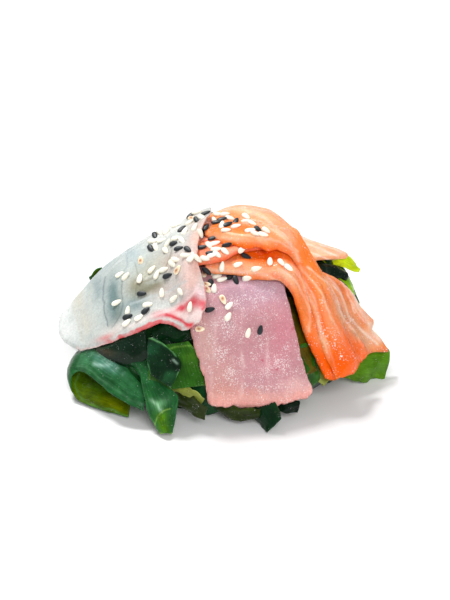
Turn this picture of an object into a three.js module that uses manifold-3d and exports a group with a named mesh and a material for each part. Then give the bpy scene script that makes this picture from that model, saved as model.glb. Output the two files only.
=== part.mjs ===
// Wakame salad with raw fish: a heap of cut seaweed leaves under seven slices of raw fish,
// strewn with sesame seeds. Millimetres, +Z up, front towards -Y, resting on z = 0.
import * as THREE from "three";
import { mergeVertices } from "three/addons/utils/BufferGeometryUtils.js";
import Module from "manifold-3d";

const wasm = await Module();
wasm.setup();

// Driving sizes of the heap under the slices
const HEAP = {
  centre: [-2.5, 3], // middle of the heap in plan
  halfWidth: 47.5, // radius along X at the waist
  halfDepth: 44, // radius along Y at the waist
  waist: 9, // height of the widest ring
  foot: 0.86, // share of the waist's radius that stands on the floor
  height: 47.5, // top of the bare heap
  fullness: 1.42, // how wide the flat top is
  steepness: 0.5, // how upright the side is above the waist
  // Where the stacked slices press it down, and where it falls away at the back left
  dents: [
    { at: [3, -12], reach: [20, 13], depth: 9 },
    { at: [-32, 24], reach: [19, 17], depth: 9 },
  ],
  relief: { depth: 0.35, turnsX: 0.42, turnsY: 0.47, bend: 0.28 }, // shallow waves of packed leaves
  rings: 7,
  sectors: 24,
};

const WAKAME_FINISH = [0x1d4a1c, 0.35]; // colour and roughness
const FLESH_ROUGHNESS = 0.3;

// Driving sizes that all pieces share
const GAP = 0.4; // clearance between touching pieces
const LEAF_GAP = 0.32; // clearance between a slice and the leaves cut back from it
const EDGE_TAPER = 0.3; // share of the thickness lost at a slice's edge
const PLEAT_DRIFT = 0.3; // turns that the pleats shift from a slice's start to its end
const FLAT_START = 0.12; // how much of the arch and the pleats a slice's start already has
const FLAT_END = 0.02; // and its end
const TIP = 0.25; // share of a slice's length over which its ends thin out
const LIP_SHARE = 0.6; // share of a slice's width where its far edge bends down, and of its length
const MAX_STEEP = 1.8; // limit of the upright thickness over the true one
const MAP_CELL = 0.5; // cell of the height map
const MAP_HALF = 66; // half width of the height map
const SAMPLES = 6; // places looked at along a grid cell's side for room
const SPLATS = 12; // places along a grid cell's side that mark the height map
const PASSES = 8; // rounds of raising a slice, and of letting it down
const EVENING = 2; // rounds of evening it out
const LEAF = {
  thickness: 1.1,
  along: 5, // cells of the grid
  across: 2,
  ends: 0.72, // width at the ends, as a share of the middle's
  ruffle: 0.09, // how far its rims wave, as a share of its width
  waves: 9, // radians of waving along its length
  skew: 1.5, // radians by which one rim's waves run ahead
  starts: 6, // radians over which the leaves' waves start
};
const SEED = {
  length: 3.3,
  width: 2.1,
  height: 1.3,
  sides: 5,
  sink: 0.15, // height of its middle over the skin
  rings: [[-0.22, 1], [0.25, 0.72]], // place along it and girth, as shares
};
const SEED_SPACING = 2.4;
const SEED_CLEAR = 2.5; // distance from a seed's middle to its slice's edge

// Slices from the bottom up: share of the thickness left at both ends, two rails along the
// length, then how the skin between them arches, where its ends bow out and how it is pleated
const SLICES = [
  {
    name: "pink_fish_slice",
    thickness: 2.8,
    tips: [0.7, 1],
    one: [[-13, -15, 42], [-11.7, -28.3, 37], [-10, -37.5, 24.6], [-6.8, -41.5, 16.5], [-5.7, -43.8, 10.5]],
    two: [[17, -11, 42.5], [19.2, -21.1, 38.6], [23, -31.5, 23.5], [25.3, -34.8, 17.5], [28.3, -38, 11]],
    camber: 1.5,
    bow: [0, 2.5],
    pleats: { count: 2, depth: 0.25 },
    along: 12,
    across: 7,
    color: 0xd6a0a4,
  },
  {
    name: "salmon_front_slice",
    thickness: 3.2,
    tips: [0.7, 1],
    one: [
      [-6.4, -20.5, 44.5], [4.4, -20.8, 44.3], [14, -21.3, 42],
      [21, -24, 36.5], [25.6, -29.6, 27.5], [32, -33.3, 15.2],
    ],
    two: [[-6, -7, 46], [6, -6.5, 45.5], [18, -6, 43], [28.5, -12, 36], [33.5, -19.5, 27], [38, -27.5, 15]],
    camber: 0.8,
    bow: [0, 2],
    pleats: { count: 1.5, depth: 0.35 },
    along: 15,
    across: 5,
    color: 0xf28a55,
  },
  {
    name: "salmon_small_flap",
    thickness: 2,
    tips: [0.6, 0.6],
    one: [[-13, -20, 42.5], [-1.6, -19.5, 45], [4.2, -15.6, 46], [15, -12, 44.5]],
    two: [[-13, -4, 44.5], [-1, -4, 46], [6, -5, 45.5], [16, -6, 44]],
    camber: 0.4,
    bow: [0, 2],
    pleats: { count: 1, depth: 0.3 },
    along: 8,
    across: 4,
    color: 0xe8613f,
  },
  {
    name: "salmon_back_slice",
    thickness: 2,
    tips: [1, 0.8],
    one: [[10, 12, 45.6], [17.3, 10.3, 44.4], [27, 7.4, 41], [38, 7.6, 37.2]],
    two: [[14, -4, 44.5], [24, -7, 40.2], [31, -2.5, 39], [40, 4.5, 36.2]],
    camber: 1,
    bow: [0, 2],
    pleats: { count: 2, depth: 0.5 },
    along: 9,
    across: 6,
    color: 0xf4b79a,
  },
  {
    name: "salmon_flap",
    thickness: 1.8,
    tips: [0.8, 0.8],
    one: [[27.5, -10, 37], [34, -14.5, 28], [39.5, -18, 19.5], [44.5, -20.5, 11]],
    two: [[32, -6.5, 36], [39, -5, 31], [44.5, -8, 22.5], [53, -11.5, 9.5]],
    camber: 0.6,
    bow: [0, -2],
    pleats: { count: 2.5, depth: 0.4 },
    along: 10,
    across: 6,
    color: 0xdf9a72,
  },
  {
    name: "salmon_top_slice",
    thickness: 3.2,
    tips: [0.3, 1],
    one: [
      [-6.5, -6, 49], [2, -14.5, 46.8], [13, -16, 44.5], [21, -14, 42],
      [26, -21, 34.5], [30.5, -29.5, 22], [35.5, -34, 9],
    ],
    two: [
      [-8.5, 19, 45.5], [2.3, 22, 49], [14, 16.5, 47.8], [22.3, 2, 44.7],
      [29, -10.3, 36.5], [36.5, -16.5, 25], [48, -21.5, 11.5],
    ],
    camber: 0.8,
    lip: 4,
    bow: [0, 1],
    pleats: { count: 3, depth: 0.45 },
    along: 17,
    across: 8,
    color: 0xf59a68,
  },
  {
    name: "white_fish_slice",
    thickness: 2,
    tips: [0.7, 0.8],
    one: [[-4.5, 11.5, 46], [-16.5, 10, 43.8], [-31.5, 6.5, 36.8], [-44.2, 2.5, 28], [-55, -6, 19.2]],
    two: [
      [-7.5, -39.5, 27.5], [-12.5, -37, 28.5], [-18.8, -31.6, 30.8],
      [-26.5, -31, 28], [-36.5, -27.6, 22.5], [-47, -22, 16.5],
    ],
    camber: 1.8,
    bow: [-2, 3],
    pleats: { count: 2, depth: 0.3 },
    along: 12,
    across: 8,
    color: 0xd5d6cc,
  },
];

// Broad leaves at the front left: two rails along the length, how far the leaf arches between
// them, and its grid
const RIBBONS = [
  // Ribbon that crosses the front left, turns back on itself and lies along the floor
  {
    one: [
      [-24.7, -39, 10.5], [-28.9, -35.2, 13], [-34.6, -29.2, 16], [-40.6, -24, 17], [-45.5, -21, 15],
      [-49, -18.5, 12], [-50.5, -18.5, 9], [-48.5, -20.5, 8], [-42.5, -23.5, 7.5], [-36, -28, 6],
      [-30.5, -32.5, 4.4],
    ],
    two: [
      [-25.9, -43.5, 5.5], [-32.9, -41.2, 8], [-39.6, -35.2, 10], [-44, -30.2, 11], [-47.6, -27, 10.3],
      [-49.6, -26.6, 7.8], [-50, -27.8, 4.4], [-47.8, -30, 1.6], [-42, -34.3, 1.1], [-36.3, -37.5, 1.1],
      [-31, -39.9, 1.1],
    ],
    camber: 0.8,
    along: 12,
    across: 2,
  },
  // Leaf that folds over the ribbon's end and down to the floor
  {
    one: [
      [-32, -31.5, 15.2], [-27.7, -35.4, 15], [-26.3, -40, 12.2], [-25, -43.6, 7.8], [-23, -47.2, 3.8],
      [-20.1, -50.3, 1.1],
    ],
    two: [
      [-26, -33.6, 19], [-22, -36.5, 17], [-18.5, -41, 13.6], [-14.8, -43.5, 10.6], [-15.5, -46, 5.5],
      [-16.6, -50.3, 1.1],
    ],
    camber: 1.2,
    along: 6,
    across: 2,
  },
  // Long dark leaf under the white slice
  {
    one: [[-25.3, -30.5, 27.5], [-32.8, -28.5, 24], [-38.8, -26, 20.5], [-43, -22, 17]],
    two: [[-23.7, -35, 20], [-28.9, -34, 16.5], [-34.3, -30.7, 14], [-39.7, -26.6, 13.5]],
    camber: 0.8,
    along: 4,
    across: 2,
  },
  // Broad veined leaf beside the pink slice, and the dark leaf folded down over it
  {
    one: [[-21.9, -33, 22.5], [-23.7, -37, 19], [-24, -39.8, 15.5], [-23.4, -41.4, 11.5]],
    two: [[-11.6, -36, 26.5], [-9.1, -37.4, 23.5], [-7.6, -39.3, 19.5], [-5.7, -41.8, 14]],
    camber: 0.6,
    along: 4,
    across: 3,
  },
  {
    one: [[-24.4, -32, 25], [-24.9, -35.9, 22.5], [-24.2, -39.1, 20], [-23.2, -41.5, 17.4]],
    two: [[-22.4, -33.4, 26.5], [-18.3, -36.5, 25], [-13.8, -40, 20.5], [-17.2, -44.9, 15]],
    camber: 0.5,
    along: 4,
    across: 2,
  },
];

// Leaves that show at the front and the sides: spine points, width, twist in degrees, curl
const LEAVES = [
  { spine: [[-23, -30, 26], [-17, -31, 28], [-9, -31, 29]], width: 9, twist: 0, curl: 0.9 },
  // Stems and scraps at the foot, under the pink slice
  { spine: [[-17, -39, 12], [-11, -43, 11.5], [-7, -44, 9.2]], width: 3, twist: 0, curl: 0 },
  { spine: [[-19, -36, 9.5], [-12, -43, 7.6], [-6, -45.5, 6.2]], width: 7, twist: 20, curl: 0.4 },
  { spine: [[-4, -38, 6], [2, -43.5, 4.6], [11, -44, 4.2]], width: 5, twist: 10, curl: 0.5 },
  { spine: [[7, -37, 7], [12, -43, 5], [15.5, -47.5, 2.4]], width: 9, twist: 10, curl: 0.5 },
  { spine: [[14, -36, 7], [19.5, -40, 5.4], [23.5, -40, 4.6]], width: 5, twist: 0, curl: 0.4 },
  // Gap between the pink slice and the salmon
  { spine: [[19, -19, 33], [24, -28, 23], [28, -32.5, 13]], width: 10, twist: 0, curl: 0.7 },
  { spine: [[24, -24, 14], [29, -28.5, 11.5], [33, -30.5, 8.5]], width: 5, twist: 10, curl: 0.4 },
  // Right side: a flat leaf at the foot, dark rolls and bright leaves behind the salmon
  { spine: [[34, -14, 9], [44, -15, 7.5], [54, -12, 4]], width: 14, twist: 5, curl: 0.3 },
  { spine: [[27, -5, 37], [34, 0, 34.5], [40.5, 2.5, 30.5]], width: 7, twist: 0, curl: 1.4 },
  { spine: [[32, 8, 35], [39, 8, 33.2], [45, 7.5, 29.2]], width: 7, twist: 10, curl: 0.3 },
  { spine: [[34, 5, 31], [40, 3, 29], [43, 0, 24]], width: 6, twist: 0, curl: 0.4 },
  { spine: [[18, 12, 39], [29, 10, 36.5], [37, 8, 31], [41, 5, 22]], width: 10, twist: 0, curl: 0.5 },
  // Behind the slices at the top, and at the left
  {
    spine: [[-14, 16, 41], [-3, 19, 44.5], [8, 19.5, 44], [16, 16, 41]],
    width: 12,
    twist: 10,
    curl: 0.5,
  },
  { spine: [[-36, 14, 25.5], [-42, 12.8, 26.4], [-45.8, 10.8, 24.6]], width: 5, twist: 20, curl: 0.4 },
];

// Leaves that run down the rest of the heap to the floor, spread by a rule: their number, the
// angles between them in degrees (0 is +X and 90 the back), where they start and end as shares of
// the heap's radius, how wide they are, how many degrees they wander sideways, how far they
// stand off the bare heap and how far they curl across
const FALLEN_SEED = 38;
const FALLEN = [
  {
    count: 13,
    angles: [-6, 190],
    top: [0.3, 0.65],
    foot: [0.92, 1.02],
    width: [12, 19],
    swing: 30,
    lift: [0.2, 1.3],
    curl: [-0.35, 0.4],
  },
  {
    count: 6,
    angles: [215, 330],
    top: [0.9, 0.94],
    foot: [0.88, 0.95],
    width: [11, 15],
    swing: 6,
    lift: [1, 1.4],
    curl: [0.3, 0.9],
  },
];
const FALLEN_TWIST = 30; // range of their twist, degrees
const FALLEN_STRAY = 0.6; // how unevenly they are spread, as a share of the step between two
const FALLEN_BEND = 0.5; // how far out the second point of their spine is, from its start to the waist
const FALLEN_STEPS = [0, 0.4, 0.8, 1]; // shares of the way down at the points of their spine

// Sesame: clusters in plan, with the spread and number of each
const SESAME_SEED = 21;
const SESAME = [
  { at: [-11, -4], spread: [4, 8], count: 40 },
  { at: [-21, -12], spread: [8, 7], count: 20 },
  { at: [-38, -13], spread: [5, 5], count: 6 },
  { at: [3, 2], spread: [6, 6], count: 26 },
  { at: [-3, -13], spread: [5, 4], count: 26 },
  { at: [-2, -24], spread: [5, 3], count: 20 },
  { at: [8, -18], spread: [6, 2], count: 8 },
  { at: [4, -34], spread: [6, 3], count: 4 },
];

// Seeded random numbers from 0 to 1
function randomFrom(seed) {
  let state = seed >>> 0;
  return () => {
    state = (Math.imul(state, 1664525) + 1013904223) >>> 0;
    return state / 4294967296;
  };
}

// Random number near 0 that rarely passes 2
function bell(random) {
  return (random() + random() + random() - 1.5) * 1.6;
}

function mix(a, b, t) {
  return a + (b - a) * t;
}

// Smooth curve through named points
function rail(points) {
  return new THREE.CatmullRomCurve3(points.map((p) => new THREE.Vector3(...p)), false, "centripetal");
}

// Share of the heap's radius at a place in plan
function heapRadius(x, y) {
  return Math.hypot((x - HEAP.centre[0]) / HEAP.halfWidth, (y - HEAP.centre[1]) / HEAP.halfDepth);
}

// Height of the bare heap above its waist, without its relief
function heapHeight(x, y) {
  const r = Math.min(1, heapRadius(x, y));
  const dome = Math.pow(1 - Math.pow(r, HEAP.fullness), HEAP.steepness);
  const pressed = HEAP.dents.map(({ at, reach, depth }) => {
    const away = ((x - at[0]) / reach[0]) ** 2 + ((y - at[1]) / reach[1]) ** 2;
    return depth * Math.exp(-away);
  });
  return HEAP.waist + (HEAP.height - HEAP.waist - pressed[0] - pressed[1]) * dome;
}

// Outward direction of the heap at a point
function heapNormal(p) {
  return new THREE.Vector3(
    (p.x - HEAP.centre[0]) / HEAP.halfWidth ** 2,
    (p.y - HEAP.centre[1]) / HEAP.halfDepth ** 2,
    Math.max(p.z, 0) / HEAP.height ** 2,
  ).normalize();
}

// Relief of the heap: shallow waves that cross
function heapRelief(x, y) {
  const { depth, turnsX, turnsY, bend } = HEAP.relief;
  return depth * (Math.sin(x * turnsX + Math.sin(y * bend)) + Math.cos(y * turnsY - Math.sin(x * bend)));
}

// Closed solid from a list of points and triangles
function solidOf(points, triangles) {
  const geometry = new THREE.BufferGeometry();
  geometry.setAttribute("position", new THREE.Float32BufferAttribute(points.flat(), 3));
  geometry.setIndex(triangles.flat());
  const merged = mergeVertices(geometry, 1e-4);
  return new wasm.Manifold(
    new wasm.Mesh({
      numProp: 3,
      vertProperties: new Float32Array(merged.attributes.position.array),
      triVerts: new Uint32Array(merged.index.array),
    }),
  );
}

// Closed solid between two grids of points, top and bottom, split into triangles alike
function slabOf(top, bottom) {
  const rows = top.length;
  const cols = top[0].length;
  const points = [...top.flat(), ...bottom.flat()];
  const id = (layer, i, j) => layer * rows * cols + i * cols + j;
  const triangles = [];
  for (let i = 0; i < rows - 1; i++) {
    for (let j = 0; j < cols - 1; j++) {
      const [a, b, c, d] = [[i, j], [i + 1, j], [i + 1, j + 1], [i, j + 1]];
      triangles.push([id(0, ...a), id(0, ...b), id(0, ...c)], [id(0, ...a), id(0, ...c), id(0, ...d)]);
      triangles.push([id(1, ...a), id(1, ...c), id(1, ...b)], [id(1, ...a), id(1, ...d), id(1, ...c)]);
    }
  }
  const rim = [];
  for (let j = 0; j < cols - 1; j++) rim.push([0, j]);
  for (let i = 0; i < rows - 1; i++) rim.push([i, cols - 1]);
  for (let j = cols - 1; j > 0; j--) rim.push([rows - 1, j]);
  for (let i = rows - 1; i > 0; i--) rim.push([i, 0]);
  rim.forEach((p, k) => {
    const q = rim[(k + 1) % rim.length];
    triangles.push([id(0, ...p), id(0, ...q), id(1, ...q)], [id(0, ...p), id(1, ...q), id(1, ...p)]);
  });
  const solid = solidOf(points, triangles);
  return solid.volume() > 0 ? solid : solidOf(points, triangles.map(([a, b, c]) => [a, c, b]));
}

// Height map of everything laid so far
class HeightMap {
  constructor() {
    this.size = Math.round((2 * MAP_HALF) / MAP_CELL) + 1;
    this.z = new Float32Array(this.size * this.size);
    for (let i = 0; i < this.size; i++) {
      for (let j = 0; j < this.size; j++) {
        const [x, y] = [i * MAP_CELL - MAP_HALF, j * MAP_CELL - MAP_HALF];
        this.z[i * this.size + j] = heapRadius(x, y) < 1 ? heapHeight(x, y) + Math.abs(heapRelief(x, y)) : 0;
      }
    }
  }

  index(x, y) {
    const i = Math.round((x + MAP_HALF) / MAP_CELL);
    const j = Math.round((y + MAP_HALF) / MAP_CELL);
    return i * this.size + j;
  }

  // Highest surface at a place, looking at the neighbouring cells too
  above(x, y) {
    const k = this.index(x, y);
    const n = this.size;
    return Math.max(this.z[k], this.z[k - 1], this.z[k + 1], this.z[k - n], this.z[k + n]);
  }

  raise(x, y, z) {
    const k = this.index(x, y);
    this.z[k] = Math.max(this.z[k], z);
  }
}

// Bilinear point of a grid, from a row and a column that need not be whole
function gridPoint(grid, row, col) {
  const i = Math.min(Math.floor(row), grid.length - 2);
  const j = Math.min(Math.floor(col), grid[0].length - 2);
  const [s, t] = [row - i, col - j];
  return grid[i][j].map((value, k) =>
    mix(mix(value, grid[i + 1][j][k], s), mix(grid[i][j + 1][k], grid[i + 1][j + 1][k], s), t),
  );
}

// Top skin of a slice before it is laid down: between its rails, arched and pleated outwards
function sliceSkin(slice) {
  const one = rail(slice.one);
  const two = rail(slice.two);
  const grid = [];
  for (let i = 0; i <= slice.along; i++) {
    const u = i / slice.along;
    const [a, b] = [one.getPoint(u), two.getPoint(u)];
    const row = [];
    const lip = (slice.lip ?? 0) * Math.max(0, 1 - u / LIP_SHARE);
    for (let j = 0; j <= slice.across; j++) {
      const v = j / slice.across;
      const arch = 4 * v * (1 - v);
      const ahead = one.getTangent(u).lerp(two.getTangent(u), v).normalize();
      const out = new THREE.Vector3().crossVectors(ahead, b.clone().sub(a)).normalize();
      const reach = slice.bow[1] * u ** 4 - slice.bow[0] * (1 - u) ** 4;
      const pleat = slice.pleats.depth * Math.sin(2 * Math.PI * (slice.pleats.count * v + PLEAT_DRIFT * u));
      const grown = Math.sin(Math.PI * mix(FLAT_START, 1 - FLAT_END, u));
      const rise = (slice.camber * arch + pleat) * grown;
      const p = a.clone().lerp(b, v).addScaledVector(ahead, reach * arch);
      p.z -= lip * Math.max(0, (v - LIP_SHARE) / (1 - LIP_SHARE)) ** 2;
      row.push(p.addScaledVector(out, out.z > 0 ? rise : -rise).toArray());
    }
    grid.push(row);
  }
  return grid;
}

// Upright thickness at each grid point, so that the true thickness is even
function uprightThickness(grid, slice) {
  const rows = grid.length - 1;
  const cols = grid[0].length - 1;
  return grid.map((row, i) =>
    row.map((p, j) => {
      const [a, b] = [grid[Math.max(i - 1, 0)][j], grid[Math.min(i + 1, rows)][j]];
      const [c, d] = [row[Math.max(j - 1, 0)], row[Math.min(j + 1, cols)]];
      const along = new THREE.Vector3().fromArray(b).sub(new THREE.Vector3().fromArray(a));
      const across = new THREE.Vector3().fromArray(d).sub(new THREE.Vector3().fromArray(c));
      const upright = Math.abs(along.cross(across).normalize().z);
      const atEdge = i === 0 || j === 0 || i === rows || j === cols;
      const [u, [start, end]] = [i / rows, slice.tips];
      const share = u < TIP ? mix(start, 1, u / TIP) : mix(1, end, Math.max(0, (u - 1 + TIP) / TIP));
      return slice.thickness * share * (atEdge ? 1 - EDGE_TAPER : 1) * Math.min(1 / upright, MAX_STEEP);
    }),
  );
}

// Room under each grid point: the least clearance found in the cells around it
function roomUnder(grid, map) {
  const room = grid.map((row) => row.map(() => Infinity));
  const [rows, cols] = [grid.length - 1, grid[0].length - 1];
  for (let r = 0; r <= rows * SAMPLES; r++) {
    for (let c = 0; c <= cols * SAMPLES; c++) {
      const [row, col] = [r / SAMPLES, c / SAMPLES];
      const [x, y, z, thickness] = gridPoint(grid, row, col);
      const clear = z - thickness - GAP - map.above(x, y);
      for (const i of [Math.floor(row), Math.ceil(row)]) {
        for (const j of [Math.floor(col), Math.ceil(col)]) room[i][j] = Math.min(room[i][j], clear);
      }
    }
  }
  return room;
}

// Average of a field over the grid points next to one
function around(field, i, j) {
  const places = [[i - 1, j], [i + 1, j], [i, j - 1], [i, j + 1]];
  const near = places.filter(([a, b]) => field[a]?.[b] !== undefined);
  return near.reduce((sum, [a, b]) => sum + field[a][b], 0) / near.length;
}

// Lays a slice down: raised where it would cut into what lies under it, let down again as far
// as it clears, then evened out, because flesh doesn't bend sharply
function layDown(skin, slice, map) {
  const upright = uprightThickness(skin, slice);
  const grid = skin.map((row, i) => row.map((p, j) => [...p, upright[i][j]]));
  const raised = grid.map((row) => row.map(() => 0));
  const shift = (change) =>
    grid.forEach((row, i) =>
      row.forEach((p, j) => {
        const by = change(i, j);
        raised[i][j] += by;
        p[2] += by;
      }),
    );
  for (let pass = 0; pass < PASSES; pass++) {
    const room = roomUnder(grid, map);
    shift((i, j) => Math.max(0, -room[i][j]));
  }
  for (let pass = 0; pass < PASSES; pass++) {
    const room = roomUnder(grid, map);
    shift((i, j) => -Math.max(0, Math.min(room[i][j], raised[i][j])));
  }
  for (let pass = 0; pass < EVENING; pass++) {
    const before = raised.map((row) => [...row]);
    shift((i, j) => Math.max(0, around(before, i, j) - before[i][j]));
  }
  const [rows, cols] = [grid.length - 1, grid[0].length - 1];
  for (let r = 0; r <= rows * SPLATS; r++) {
    for (let c = 0; c <= cols * SPLATS; c++) map.raise(...gridPoint(grid, r / SPLATS, c / SPLATS));
  }
  return {
    top: grid.map((row) => row.map(([x, y, z]) => [x, y, z])),
    bottom: grid.map((row) => row.map(([x, y, z, thickness]) => [x, y, z - thickness])),
  };
}

// Solid that keeps leaves off a slice: its underside lowered by the gap, carried up high
function keepOut(layer) {
  const wide = layer.bottom.map((row) => widened(row, GAP));
  const across = wide[0].map((_, j) => widened(wide.map((row) => row[j]), GAP));
  const low = across.map((line) => line.map(([x, y, z]) => [x, y, z - LEAF_GAP]));
  const high = low.map((line) => line.map(([x, y]) => [x, y, HEAP.height * 2]));
  return slabOf(high, low);
}

// A line of points with both ends moved outwards in plan
function widened(line, by) {
  const moved = line.map((p) => [...p]);
  const n = line.length;
  for (const [end, next] of [[0, 1], [n - 1, n - 2]]) {
    const [dx, dy] = [line[end][0] - line[next][0], line[end][1] - line[next][1]];
    const length = Math.hypot(dx, dy) || 1;
    moved[end][0] += (dx / length) * by;
    moved[end][1] += (dy / length) * by;
  }
  return moved;
}

// Bare heap: rings of points from the top to the floor, and a flat base
function heapSolid() {
  const points = [[...HEAP.centre, heapHeight(...HEAP.centre)]];
  const triangles = [];
  const id = (ring, k) => 1 + (ring - 1) * HEAP.sectors + (k % HEAP.sectors);
  for (let ring = 1; ring <= HEAP.rings; ring++) {
    const atFoot = ring === HEAP.rings;
    const r = atFoot ? HEAP.foot : Math.sin((Math.PI / 2) * (ring / (HEAP.rings - 1)));
    for (let k = 0; k < HEAP.sectors; k++) {
      const angle = (2 * Math.PI * k) / HEAP.sectors;
      const x = HEAP.centre[0] + HEAP.halfWidth * r * Math.cos(angle);
      const y = HEAP.centre[1] + HEAP.halfDepth * r * Math.sin(angle);
      points.push([x, y, atFoot ? 0 : heapHeight(x, y) + Math.min(0, heapRelief(x, y))]);
    }
  }
  for (let k = 0; k < HEAP.sectors; k++) {
    triangles.push([0, id(1, k), id(1, k + 1)]);
    for (let ring = 1; ring < HEAP.rings; ring++) {
      const [a, b, c, d] = [id(ring, k), id(ring + 1, k), id(ring + 1, k + 1), id(ring, k + 1)];
      triangles.push([a, b, c], [a, c, d]);
    }
    triangles.push([points.length, id(HEAP.rings, k + 1), id(HEAP.rings, k)]);
  }
  points.push([...HEAP.centre, 0]);
  return solidOf(points, triangles);
}

// Leaf: a thin wavy solid along its spine, curled across and ruffled at the rims
function leafSolid(leaf, random) {
  const { along, across, ends, waves, skew } = LEAF;
  const spine = rail(leaf.spine);
  const phase = random() * LEAF.starts;
  const skin = [];
  const lift = [];
  for (let i = 0; i <= along; i++) {
    const t = i / along;
    const centre = spine.getPoint(t);
    const ahead = spine.getTangent(t);
    const side = new THREE.Vector3().crossVectors(ahead, heapNormal(centre)).normalize();
    side.applyAxisAngle(ahead, THREE.MathUtils.degToRad(leaf.twist));
    const out = new THREE.Vector3().crossVectors(side, ahead).normalize();
    const half = (leaf.width / 2) * mix(ends, 1, Math.sin(Math.PI * t));
    const row = [];
    for (let j = 0; j <= across; j++) {
      const v = (2 * j) / across - 1;
      const angle = v * leaf.curl;
      const reach = leaf.curl ? Math.sin(angle) / leaf.curl : v;
      const sag = leaf.curl ? (1 - Math.cos(angle)) / leaf.curl : 0;
      const ruffle = LEAF.ruffle * leaf.width * v * Math.sin(phase + waves * t + skew * v);
      const p = centre.clone().addScaledVector(side, half * reach);
      row.push(p.addScaledVector(out, ruffle - half * sag));
    }
    skin.push(row);
    lift.push(out.multiplyScalar(LEAF.thickness / 2));
  }
  const moved = (p, by) => p.clone().add(by).toArray();
  const face = (sign) =>
    skin.map((row, i) => row.map((p) => moved(p, lift[i].clone().multiplyScalar(sign))));
  return slabOf(face(1), face(-1)).trimByPlane([0, 0, 1], 0);
}

// Leaf between two rails: thin, arched across
function ribbonSolid({ one, two, camber, along, across }) {
  const [first, second] = [rail(one), rail(two)];
  const faces = { 1: [], "-1": [] };
  for (let i = 0; i <= along; i++) {
    const [a, b] = [first.getPoint(i / along), second.getPoint(i / along)];
    for (const sign of [1, -1]) faces[sign].push([]);
    for (let j = 0; j <= across; j++) {
      const v = j / across;
      const ahead = first.getTangent(i / along).lerp(second.getTangent(i / along), v);
      const out = new THREE.Vector3().crossVectors(ahead, b.clone().sub(a)).normalize();
      for (const sign of [1, -1]) {
        const lift = 4 * camber * v * (1 - v) + (sign * LEAF.thickness) / 2;
        faces[sign][i].push(a.clone().lerp(b, v).addScaledVector(out, lift).toArray());
      }
    }
  }
  return slabOf(faces[1], faces[-1]).trimByPlane([0, 0, 1], 0);
}

// Leaves that fall down the heap where the slices leave it bare
function fallenLeaves(random) {
  const leaves = [];
  for (const { count, angles, top, foot, width, swing, lift, curl } of FALLEN) {
    for (let k = 0; k < count; k++) {
      const start = mix(...angles, (k + FALLEN_STRAY * (random() - 0.5)) / (count - 1));
      const turn = swing * (2 * random() - 1);
      const [from, to, off] = [top, foot, lift].map((range) => mix(...range, random()));
      const spine = [from, mix(from, 1, FALLEN_BEND), 1, to].map((r, step) => {
        const t = FALLEN_STEPS[step];
        const angle = THREE.MathUtils.degToRad(start + turn * t);
        const x = HEAP.centre[0] + HEAP.halfWidth * r * Math.cos(angle);
        const y = HEAP.centre[1] + HEAP.halfDepth * r * Math.sin(angle);
        return [x, y, t < 1 ? heapHeight(x, y) + off : LEAF.thickness];
      });
      const twist = FALLEN_TWIST * (random() - 0.5);
      leaves.push({ spine, width: mix(...width, random()), twist, curl: mix(...curl, random()) });
    }
  }
  return leaves;
}

// Wakame: the bare heap with every leaf fused on, clear of the slices
function wakameSolid(layers) {
  const random = randomFrom(FALLEN_SEED);
  let heap = heapSolid();
  for (const ribbon of RIBBONS) heap = heap.add(ribbonSolid(ribbon));
  for (const leaf of [...LEAVES, ...fallenLeaves(random)]) heap = heap.add(leafSolid(leaf, random));
  for (const layer of layers) heap = heap.subtract(keepOut(layer)).subtract(slabOf(layer.top, layer.bottom));
  return largestOf(heap);
}

function largestOf(solid) {
  return solid.decompose().sort((a, b) => b.volume() - a.volume())[0];
}

// Place on a slice's skin under a point in plan, if it lies on the slice
function onSlice(layer, x, y) {
  const { top } = layer;
  for (let i = 0; i < top.length - 1; i++) {
    for (let j = 0; j < top[0].length - 1; j++) {
      const [a, b, c, d] = [top[i][j], top[i + 1][j], top[i + 1][j + 1], top[i][j + 1]];
      for (const corners of [[a, b, c], [a, c, d]]) {
        const place = onTriangle(corners.map((p) => new THREE.Vector3(...p)), x, y);
        if (place) return place;
      }
    }
  }
  return null;
}

function onTriangle([a, b, c], x, y) {
  const area = (b.x - a.x) * (c.y - a.y) - (c.x - a.x) * (b.y - a.y);
  const s = ((x - a.x) * (c.y - a.y) - (c.x - a.x) * (y - a.y)) / area;
  const t = ((b.x - a.x) * (y - a.y) - (x - a.x) * (b.y - a.y)) / area;
  if (s < 0 || t < 0 || s + t > 1) return null;
  const normal = b.clone().sub(a).cross(c.clone().sub(a)).normalize();
  if (normal.z < 0) normal.negate();
  return { point: new THREE.Vector3(x, y, a.z + s * (b.z - a.z) + t * (c.z - a.z)), normal };
}

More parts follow.
